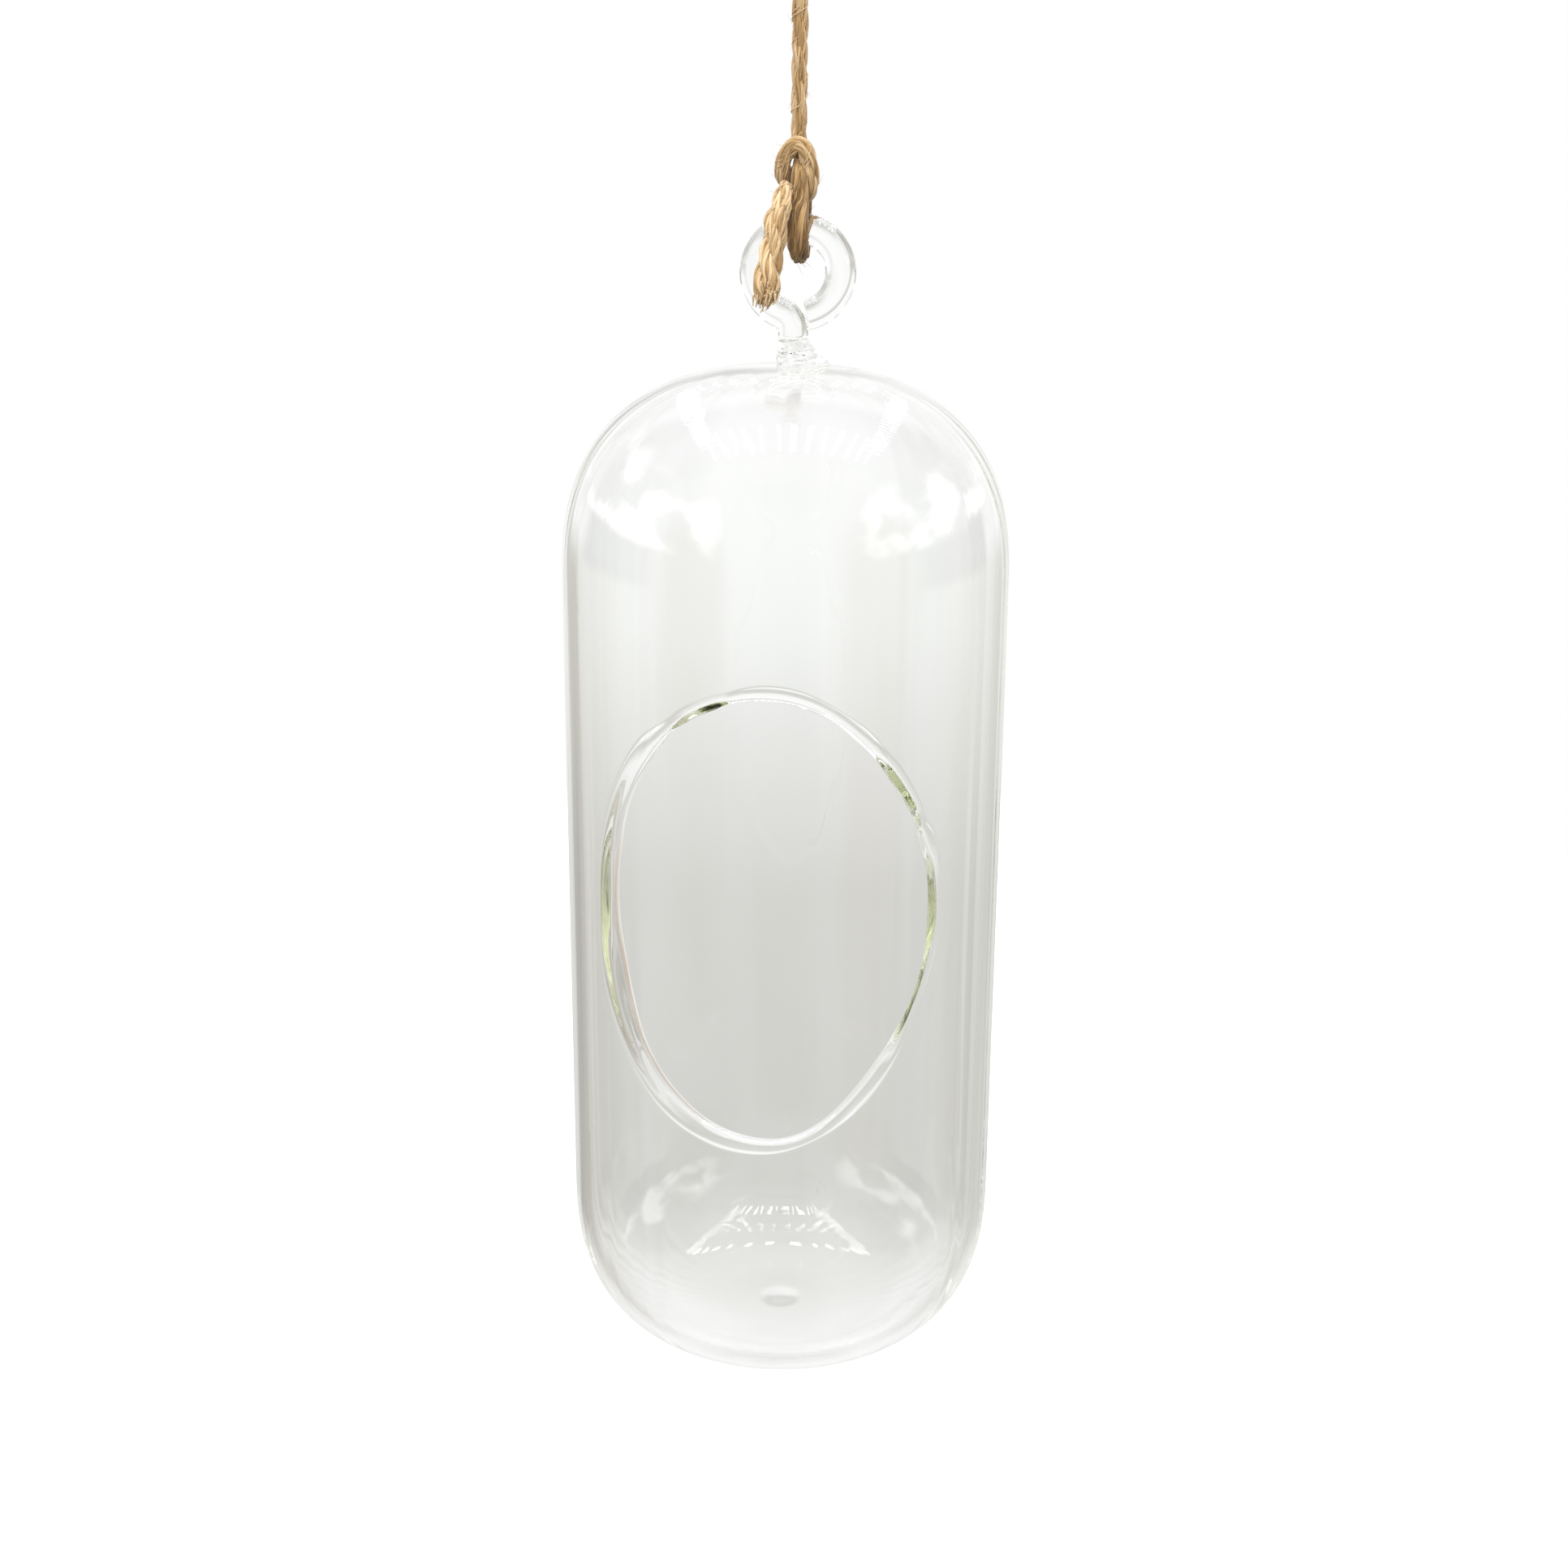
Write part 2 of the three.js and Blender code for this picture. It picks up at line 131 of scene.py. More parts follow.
def smooth_line(points: Route, step: float) -> Points:
    """Sample the centripetal curve through a cord's points.

    Args:
        points: The route's points, as listed.
        step: Distance between samples.

    Returns:
        Evenly spaced points along the curve.
    """
    route = np.asarray(points, float)
    ends = np.vstack([2 * route[0] - route[1], route, 2 * route[-1] - route[-2]])
    stretches = []
    for a, b, c, d in zip(ends, ends[1:], ends[2:], ends[3:]):
        ta, tb, tc = (np.linalg.norm(v) ** 0.5 for v in (b - a, c - b, d - c))
        out = ((b - a) / ta - (c - a) / (ta + tb) + (c - b) / tb) * tb
        into = ((c - b) / tb - (d - b) / (tb + tc) + (d - c) / tc) * tb
        t = np.linspace(0, 1, CURVE_STEPS, endpoint=False)[:, None]
        bend = (3 * (c - b) - 2 * out - into) * t**2 + (2 * (b - c) + out + into) * t**3
        stretches.append(b + out * t + bend)
    return even_spacing(np.vstack([*stretches, route[-1:]]), step)


def even_spacing(line: Points, step: float) -> Points:
    """Space a line's points evenly, about a step apart.

    Args:
        line: The line's points.
        step: Distance between the new points.

    Returns:
        The new points.
    """
    run = run_along(line)
    at = np.linspace(0, run[-1], max(3, math.ceil(run[-1] / step) + 1))
    return np.stack([np.interp(at, run, line[:, k]) for k in range(3)], axis=1)


def run_along(line: Points) -> Points:
    """Measure the distance along a line to each of its points."""
    steps = np.linalg.norm(np.diff(line, axis=0), axis=1)
    return np.concatenate([[0.0], np.cumsum(steps)])


def unit(vectors: Points) -> Points:
    """Scale vectors to length one."""
    return vectors / np.maximum(np.linalg.norm(vectors, axis=-1, keepdims=True), TINY)


def side_vectors(line: Points) -> tuple[Points, Points]:
    """Carry two vectors square to a line along it without twisting.

    Args:
        line: Points along the line.

    Returns:
        Two unit vectors at each point, square to the line and to each other.
    """
    tangents = unit(np.gradient(line, axis=0))
    guide = np.array([0.0, 1.0, 0.0] if abs(tangents[0][1]) < STEEP else [1.0, 0.0, 0.0])
    first = np.zeros_like(line)
    for i, tangent in enumerate(tangents):
        guide = unit(guide - tangent * (guide @ tangent))
        first[i] = guide
    return first, np.cross(tangents, first)


def turned(turn: Points | float, first: Points, second: Points) -> Points:
    """Turn from one vector towards another by an angle, or by an angle at each point."""
    angle = np.asarray(turn)[..., None]
    return np.cos(angle) * first + np.sin(angle) * second


def read_stops(stops: Stops, at: Points) -> Points:
    """Read a value that changes along or round a piece from its stops."""
    places, values = zip(*stops)
    return np.interp(at, places, values)


def make_piece(name: str, vertices: Points, faces: Faces) -> Piece:
    """Make a smooth mesh object from points in millimetres.

    Args:
        name: The piece's name.
        vertices: Points in millimetres, in the frame of the part.
        faces: Corners of each face, as places in the points.

    Returns:
        The new object, linked to the scene.
    """
    mesh = bpy.data.meshes.new(name)
    mesh.from_pydata((np.asarray(vertices) * MM).tolist(), [], faces)
    mesh.validate()
    mesh.polygons.foreach_set("use_smooth", [True] * len(mesh.polygons))
    mesh.update()
    piece = bpy.data.objects.new(name, mesh)
    bpy.context.scene.collection.objects.link(piece)
    return piece


def grid_faces(rows: int, columns: int, start: int = 0) -> Faces:
    """List the quads of rings of points that close round on themselves.

    Args:
        rows: Number of rings.
        columns: Points in each ring.
        start: Place of the first point.

    Returns:
        Corners of each quad.
    """
    ring = np.arange(columns)
    following = np.roll(ring, -1)
    bottom = start + np.arange(rows - 1)[:, None] * columns
    quads = np.stack(
        [bottom + ring, bottom + following, bottom + columns + following, bottom + columns + ring],
        axis=-1,
    )
    return [tuple(quad) for quad in quads.reshape(-1, 4).tolist()]


def fan_faces(pole: int, start: int, columns: int, upwards: bool) -> Faces:
    """List the triangles that close a ring of points at a pole.

    Args:
        pole: Place of the pole.
        start: Place of the ring's first point.
        columns: Points in the ring.
        upwards: Whether the triangles face up.

    Returns:
        Corners of each triangle.
    """
    ring = start + np.arange(columns)
    first, second = (ring, np.roll(ring, -1)) if upwards else (np.roll(ring, -1), ring)
    return [(pole, a, b) for a, b in zip(first.tolist(), second.tolist())]


@dataclass
class NodeBench:
    """Nodes of one material or surround, added and wired one by one."""

    tree: bpy.types.NodeTree

    def feed(self, socket: Socket, value: object) -> None:
        """Link an input to the socket that feeds it, or give it a constant.

        Args:
            socket: The input.
            value: The socket that feeds it, or its constant.
        """
        if isinstance(value, Socket):
            self.tree.links.new(value, socket)
        else:
            socket.default_value = (*value, 1) if socket.type == "RGBA" else value

    def set(self, node: bpy.types.Node, **values: object) -> bpy.types.Node:
        """Set a node's properties and feed its inputs.

        Args:
            node: The node.
            **values: Properties of the node, or inputs with spaces written as underscores.

        Returns:
            The node.
        """
        for key, value in values.items():
            if hasattr(node, key):
                setattr(node, key, value)
            else:
                self.feed(node.inputs[key.replace("_", " ")], value)
        return node

    def add(self, kind: str, **values: object) -> bpy.types.Node:
        """Add a node of a kind and set it."""
        return self.set(self.tree.nodes.new("ShaderNode" + kind), **values)

    def maths(self, operation: str, *terms: object, kind: str = "Math") -> Socket:
        """Reckon with numbers or vectors.

        Args:
            operation: What is reckoned.
            *terms: Sockets or constants, in the order of the node's inputs.
            kind: The node's type.

        Returns:
            The socket of the resulting number.
        """
        node = self.add(kind, operation=operation)
        for socket, term in zip(node.inputs, terms):
            self.feed(socket, term)
        return node.outputs["Value"]

    def facing(self, direction: Socket, goal: Place) -> Socket:
        """Tell how nearly a direction points at a goal, 1 where it does."""
        return self.maths("DOT_PRODUCT", direction, Vector(goal).normalized(), kind="VectorMath")

    def noise(self, place: Socket, scale: float, detail: float) -> Socket:
        """Give soft random patches over a place."""
        return self.add("TexNoise", Vector=place, Scale=scale, Detail=detail).outputs["Fac"]

    def stretched(self, place: Socket, scale: Place) -> Socket:
        """Stretch a place along its axes."""
        return self.add("Mapping", Vector=place, Scale=scale).outputs["Vector"]

    def scaled(self, value: Socket, **spans: object) -> Socket:
        """Map a value from one span to another, each from 0 to 1 unless it is named."""
        return self.add("MapRange", Value=value, **spans).outputs["Result"]

    def mix(
        self, factor: object, plain: object, other: object, blend: str = "MIX"
    ) -> Socket:
        """Mix two colours.

        Args:
            factor: How far the second colour shows.
            plain: First colour, or the socket that gives it.
            other: Second colour, or the socket that gives it.
            blend: How the second colour is laid over the first.

        Returns:
            The socket of the mixed colour.
        """
        node = self.add("Mix", data_type="RGBA", blend_type=blend, clamp_factor=False)
        for place, value in zip(MIX_INPUTS, (factor, plain, other)):
            self.feed(node.inputs[place], value)
        return node.outputs[MIX_OUTPUT]

    def times(self, first: object, second: object) -> Socket:
        """Multiply two colours."""
        return self.mix(1.0, first, second, "MULTIPLY")

    def ramp(self, value: Socket, stops: Stops) -> Socket:
        """Grade a colour over a value between 0 and 1.

        Args:
            value: The socket that gives the value.
            stops: Place of each stop, and its colour or its grey.

        Returns:
            The socket of the graded colour.
        """
        node = self.add("ValToRGB", Fac=value)
        elements = node.color_ramp.elements
        while len(elements) < len(stops):
            elements.new(1.0)
        for element, (place, colour) in zip(elements, stops):
            element.position = place
            element.color = (*colour, 1.0) if isinstance(colour, tuple) else (*(colour,) * 3, 1.0)
        return node.outputs["Color"]

    def graded(self, value: Socket, stops: Stops) -> Socket:
        """Grade a colour over a value between -1 and 1."""
        level = self.scaled(value, From_Min=-1.0, From_Max=1.0)
        return self.ramp(level, tuple(((place + 1) / 2, colour) for place, colour in stops))

    def bump(self, height: Socket, strength: float, depth: float) -> Socket:
        """Raise a surface by a height."""
        node = self.add("Bump", Height=height, Strength=strength, Distance=depth)
        return node.outputs["Normal"]

    def show(self, socket: Socket, part: str = "Surface") -> None:
        """Let a material show what a socket gives."""
        self.feed(self.tree.nodes["Material Output"].inputs[part], socket)


def new_material(name: str) -> tuple[Material, NodeBench, bpy.types.Node]:
    """Make a material with a node tree.

    Args:
        name: The material's name.

    Returns:
        The material, the bench for its nodes and its Principled shader.
    """
    material = bpy.data.materials.new(name)
    material.use_nodes = True
    tree = material.node_tree
    return material, NodeBench(tree), tree.nodes["Principled BSDF"]


def dress_glass(piece: Piece, glass: Material, node: str) -> Piece:
    """Give a piece its glass, let it move with the vessel and stand for its CAD node.

    Args:
        piece: The piece.
        glass: The glass.
        node: Name of the CAD node.

    Returns:
        The piece.
    """
    piece.data.materials.append(glass)
    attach(piece, Body.GLASS.value)
    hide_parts(node)
    return piece


@dataclass(frozen=True)
class ClearGlass:
    """Fire-polished clear glass with faint upright draw lines."""

    tint: Colour = (0.998, 1.0, 0.999)
    ior: float = 1.47
    absorbed_tint: Colour = (0.77, 0.80, 0.58)
    absorption: float = 6.0
    smoothest: float = 0.0
    roughest: float = 0.012
    line_scale: Place = (160.0, 160.0, 4.0)
    line_depth: float = 0.012 * MM
    line_detail: float = 2.0
    smear_scale: float = 70.0
    smear_detail: float = 3.0

    def material(self) -> Material:
        """Make the glass with its absorption, draw lines and faint smears.

        Returns:
            The glass.
        """
        material, nodes, shader = new_material("clear_glass_look")
        place = nodes.add("TexCoord").outputs["Object"]
        lines = nodes.noise(nodes.stretched(place, self.line_scale), 1.0, self.line_detail)
        smears = nodes.noise(place, self.smear_scale, self.smear_detail)
        nodes.set(
            shader,
            Base_Color=self.tint,
            Transmission_Weight=1.0,
            IOR=self.ior,
            Roughness=nodes.scaled(smears, To_Min=self.smoothest, To_Max=self.roughest),
            Normal=nodes.bump(lines, 1.0, self.line_depth),
        )
        absorb = nodes.add("VolumeAbsorption", Color=self.absorbed_tint, Density=self.absorption)
        nodes.show(absorb.outputs["Volume"], "Volume")
        return material


@dataclass(frozen=True)
class NaturalJute:
    """Matte, hairy jute whose fibres differ from each other and along their length."""

    deep: Colour = (0.17, 0.09, 0.028)
    middle: Colour = (0.47, 0.29, 0.12)
    pale: Colour = (0.86, 0.67, 0.42)
    roughness: float = 0.88
    sheen: float = 0.25
    fleck_scale: float = 900.0
    streak_scale: float = 7.0
    streak_share: float = 0.45
    fleck_detail: float = 4.0
    streak_detail: float = 3.0
    streak_edge: Span = (0.25, 0.75)
    bump_strength: float = 0.6
    bump_depth: float = 0.05 * MM

    def material(self) -> Material:
        """Make the jute from each fibre's shade, random per fibre with painted light and shade
        added, and flecks along it.

        Returns:
            The jute.
        """
        material, nodes, shader = new_material("natural_jute_look")
        shade = nodes.add("Attribute", attribute_name="shade").outputs["Fac"]
        grain = nodes.add("Attribute", attribute_name="grain").outputs["Vector"]
        place = nodes.add("TexCoord").outputs["Object"]
        flecks = nodes.noise(place, self.fleck_scale, self.fleck_detail)
        streaks = nodes.noise(grain, self.streak_scale, self.streak_detail)
        faint, full = self.streak_edge
        sharp = nodes.scaled(streaks, From_Min=faint, From_Max=full)
        mixed = nodes.add("Mix", data_type="FLOAT", Factor=self.streak_share, A=shade, B=sharp)
        tints = ((0.0, self.deep), (0.5, self.middle), (1.0, self.pale))
        nodes.set(
            shader,
            Base_Color=nodes.ramp(mixed.outputs["Result"], tints),
            Sheen_Weight=self.sheen,
            Roughness=nodes.scaled(flecks, To_Min=self.roughness, To_Max=1.0),
            Normal=nodes.bump(streaks, self.bump_strength, self.bump_depth),
        )
        return material


@dataclass
class FibreMesh:
    """Tubes gathered into one mesh, each with its shade, random per fibre with painted light and
    shade added on some.
    """

    vertices: list[Points] = field(default_factory=list)
    faces: Faces = field(default_factory=list)
    shades: list[Points] = field(default_factory=list)
    grains: list[Points] = field(default_factory=list)
    count: int = 0
    grain_stretch: float = 12.0
    grain_shift: float = 7.3

    def add_tube(
        self,
        line: Points,
        across: tuple[Points, Points],
        radius: Points,
        sides: int,
        shade: Points | float,
    ) -> None:
        """Add a closed tube.

        Args:
            line: The tube's centre line.
            across: Two vectors square to the line at each point.
            radius: Radius at each point.
            sides: Sides of the tube.
            shade: The tube's place between deep and pale, all along it or at each point.
        """
        angle = FULL_TURN * np.arange(sides) / sides
        first, second = (vector[:, None, :] for vector in across)
        rings = line[:, None, :] + radius[:, None, None] * turned(angle[None, :], first, second)
        self.faces += grid_faces(len(line), sides, self.count)
        last = self.count + (len(line) - 1) * sides
        self.faces.append(tuple(range(self.count + sides - 1, self.count - 1, -1)))
        self.faces.append(tuple(range(last, last + sides)))
        self.vertices.append(rings.reshape(-1, 3))
        self.shades.append(np.repeat(np.broadcast_to(shade, len(line)), sides))
        number = self.grain_shift * len(self.vertices)
        along = np.repeat(run_along(line) / self.grain_stretch, sides)
        around = radius[:, None] * np.cos(angle), radius[:, None] * np.sin(angle)
        grain = [around[0].ravel() + number, around[1].ravel() + number, along]
        self.grains.append(np.stack(grain, axis=1))
        self.count += len(line) * sides

    def to_piece(self, name: str, material: Material) -> Piece:
        """Make the gathered tubes into one jute piece.

        Args:
            name: The piece's name.
            material: The jute.

        Returns:
            The new object.
        """
        piece = make_piece(name, np.vstack(self.vertices), self.faces)
        shade = piece.data.attributes.new("shade", "FLOAT", "POINT")
        shade.data.foreach_set("value", np.concatenate(self.shades).astype(np.float32))
        grain = piece.data.attributes.new("grain", "FLOAT_VECTOR", "POINT")
        grain.data.foreach_set("vector", np.vstack(self.grains).astype(np.float32).ravel())
        piece.data.materials.append(material)
        return piece


@dataclass(frozen=True)
class Twine:
    """How jute twine is laid up: plies round each other, bundles of fibre round each ply."""

    diameter: float = 1.8
    plies: int = 3
    bundles: int = 11
    ply_pitch: float = 10.0
    ply_offset: float = 0.41
    ply_share: float = 0.62
    bundle_pitch: float = 13.0
    ply_lay: Lay = Lay.LEFT
    step: float = 0.3
    bundle_sides: int = 5
    core_sides: int = 8
    # Painted shade: the ply cores are made deep so that the gaps between bundles look shaded.
    core_painted_gap_shade: float = 0.2
    wander: float = 0.08
    hair_radius: float = 0.024
    wrap_radius: float = 0.07
    tuft_radius: float = 0.15
    hair_length: Span = (0.9, 2.2)
    squeeze: float = 0.7
    least_share: float = 0.02
    core_share: float = 0.74
    bundle_jitter: float = 0.5
    bundle_reach: float = 0.72
    bundle_spread: float = 0.4
    bundle_girth: Span = (0.24, 0.36)
    wander_run: Span = (4, 10)
    wander_turn: float = 4.0
    taper: float = 0.6
    wrap_points: int = 15
    wrap_sides: int = 4
    wrap_steps: Span = (4, 10)
    wrap_sweep: Span = (2.5, 5.0)
    wrap_lift: Span = (0.96, 1.06)
    wrap_end: float = 0.3
    wrap_shade: Span = (0.85, 1.0)
    tuft_points: int = 6
    tuft_sides: int = 5
    tuft_roots: tuple[int, int] = (2, 9)
    tuft_fill: Span = (0.05, 1.0)
    tuft_length: Span = (1.0, 2.0)
    tuft_round: float = 0.35
    tuft_sway: Span = (-0.3, 0.3)
    tuft_lean: Span = (-0.6, 0.1)
    # Painted light: the fray's fibre ends are made paler than the bundles to lift their shaded
    # undersides.
    tuft_painted_light_shade: Span = (0.55, 1.15)
    hair_points: int = 7
    hair_sides: int = 3
    hair_root: float = 0.92
    hair_run: Span = (0.5, 1.0)
    hair_lift: Span = (0.05, 0.55)
    hair_curl: Span = (-0.6, 0.6)
    hair_shade: Span = (0.6, 1.0)

    def lay_up(
        self,
        line: Points,
        radius: Points,
        spread: Points,
        painted_light_tone: Points,
        rng: np.random.Generator,
        ragged: int = 0,
    ) -> FibreMesh:
        """Lay up plies and fibres along a line.

        Args:
            line: Evenly spaced centre line.
            radius: Radius of the twine at each point.
            spread: How far the plies stand apart at each point, 1 where they lie close.
            painted_light_tone: Painted light and shade at each point: how much paler the fibres are
                made where lit and deeper where shaded.
            rng: Source of the fibres' differences.
            ragged: Most steps by which a fibre's end falls short of the line's.

        Returns:
            The plies and fibres.
        """
        mesh = FibreMesh()
        run = run_along(line)
        first, second = side_vectors(line)
        for ply in range(self.plies):
            turn = FULL_TURN * (ply / self.plies + self.ply_lay.value * run / self.ply_pitch)
            away = (self.ply_offset * radius * spread)[:, None]
            middle = line + away * turned(turn, first, second)
            thick = self.ply_share * radius
            short = len(line) - ragged // 2
            core = (self.core_share * thick)[:short]
            # Painted shade in the gaps between bundles, plus the painted light and shade along the
            # twine.
            shade = self.core_painted_gap_shade + painted_light_tone[:short]
            across = (first[:short], second[:short])
            mesh.add_tube(middle[:short], across, core, self.core_sides, shade)
            for bundle in range(self.bundles):
                end = len(line) - int(rng.integers(0, ragged + 1))
                phase = FULL_TURN * (bundle + self.bundle_jitter * rng.random()) / self.bundles
                wave = run / rng.uniform(*self.wander_run) + rng.random()
                drift = self.wander * np.sin(FULL_TURN * wave)
                back = self.ply_lay.value * FULL_TURN * run / self.bundle_pitch
                around = phase - back + self.wander_turn * drift
                loose = 1 - self.bundle_spread + self.bundle_spread * spread
                out = thick * (self.bundle_reach + drift) * loose
                fibre = middle + out[:, None] * turned(around, first, second)
                fibre = self.press(fibre, line, radius)[:end]
                girth = (thick * rng.uniform(*self.bundle_girth))[:end]
                # Random fibre shade plus the painted light and shade along the twine.
                shade = rng.uniform(0.0, 1.0) + painted_light_tone[:end]
                mesh.add_tube(fibre, (first[:end], second[:end]), girth, self.bundle_sides, shade)
        return mesh

    def add_wraps(
        self, mesh: FibreMesh, line: Points, radius: Points, count: int, rng: np.random.Generator
    ) -> None:
        """Add pale fibres that lie across the twine.

        Args:
            mesh: The twine's mesh.
            line: Its centre line.
            radius: Its radius at each point.
            count: Number of fibres.
            rng: Source of their differences.
        """
        first, second = side_vectors(line)
        places = np.arange(len(line))
        for _ in range(count):
            start = rng.uniform(0, len(line) - 2)
            steps = np.linspace(0, rng.uniform(*self.wrap_steps), self.wrap_points)
            at = np.clip(start + steps, 0, len(line) - 1)
            turn = rng.uniform(0, FULL_TURN)
            turn = turn + np.linspace(0, rng.uniform(*self.wrap_sweep), self.wrap_points)
            centre, across, deep = (
                np.stack([np.interp(at, places, v[:, k]) for k in range(3)], axis=1)
                for v in (line, first, second)
            )
            out = np.interp(at, places, radius) * rng.uniform(*self.wrap_lift)
            wrap = centre + out[:, None] * turned(turn, across, deep)
            ends = np.linspace(self.wrap_end, math.pi - self.wrap_end, self.wrap_points)
            girth = self.wrap_radius * np.sin(ends)
            shade = rng.uniform(*self.wrap_shade)
            mesh.add_tube(wrap, side_vectors(wrap), girth, self.wrap_sides, shade)

    def add_tuft(
        self, mesh: FibreMesh, line: Points, reach: float, count: int, rng: np.random.Generator
    ) -> None:
        """Add the loose fibre ends of a frayed tip.

        Args:
            mesh: The twine's mesh.
            line: Its centre line, ending at the tip.
            reach: Radius that the roots fill.
            count: Number of fibre ends.
            rng: Source of their differences.
        """
        first, second = side_vectors(line)
        tangent = unit(np.gradient(line, axis=0))[-1]
        share = np.linspace(0, 1, self.tuft_points)[:, None]
        for _ in range(count):
            root = len(line) - 1 - int(rng.integers(*self.tuft_roots))
            outward = turned(rng.uniform(0, FULL_TURN), first[root], second[root])
            away = math.sqrt(rng.uniform(*self.tuft_fill))
            start = line[root] + reach * away * outward
            length = rng.uniform(*self.tuft_length) * (1 - self.tuft_round * away**2)
            sideways = np.cross(tangent, outward) * rng.uniform(*self.tuft_sway)
            lean = outward * rng.uniform(*self.tuft_lean) * away
            end = start + length * (share * tangent + share**2 * (lean + sideways))
            girth = self.tuft_radius * (1 - self.taper * share[:, 0])
            # Painted light on the fray's shaded fibre ends.
            shade = rng.uniform(*self.tuft_painted_light_shade)
            mesh.add_tube(end, side_vectors(end), girth, self.tuft_sides, shade)

    def press(self, fibre: Points, line: Points, radius: Points) -> Points:
        """Press a fibre outwards, as plies squeeze each other flat where they touch.

        Args:
            fibre: Points along the fibre.
            line: Centre line of the twine, point for point.
            radius: Radius of the twine at each point.

        Returns:
            The fibre, nearer the twine's outside.
        """
        away = fibre - line
        share = np.linalg.norm(away, axis=1) / radius
        return line + away * (np.maximum(share, self.least_share) ** (self.squeeze - 1))[:, None]

    def add_hairs(
        self, mesh: FibreMesh, line: Points, radius: Points, count: int, rng: np.random.Generator
    ) -> None:
        """Add stray fibres that lift off the twine.

        Args:
            mesh: The twine's mesh.
            line: Its centre line.
            radius: Its radius at each point.
            count: Number of stray fibres.
            rng: Source of their differences.
        """
        first, second = side_vectors(line)
        tangents = unit(np.gradient(line, axis=0))
        share = np.linspace(0, 1, self.hair_points)[:, None]
        for _ in range(count):
            at = int(rng.integers(1, len(line) - 1))
            outward = turned(rng.uniform(0, FULL_TURN), first[at], second[at])
            sideways = np.cross(tangents[at], outward)
            length = rng.uniform(*self.hair_length)
            along = tangents[at] * rng.choice([-1, 1]) * rng.uniform(*self.hair_run)
            lift = outward * rng.uniform(*self.hair_lift)
            curl = sideways * rng.uniform(*self.hair_curl)
            root = line[at] + self.hair_root * radius[at] * outward
            hair = root + length * (share * along + share**2 * lift + share**2 * curl)
            girth = self.hair_radius * (1 - self.taper * share[:, 0])
            shade = rng.uniform(*self.hair_shade)
            mesh.add_tube(hair, side_vectors(hair), girth, self.hair_sides, shade)


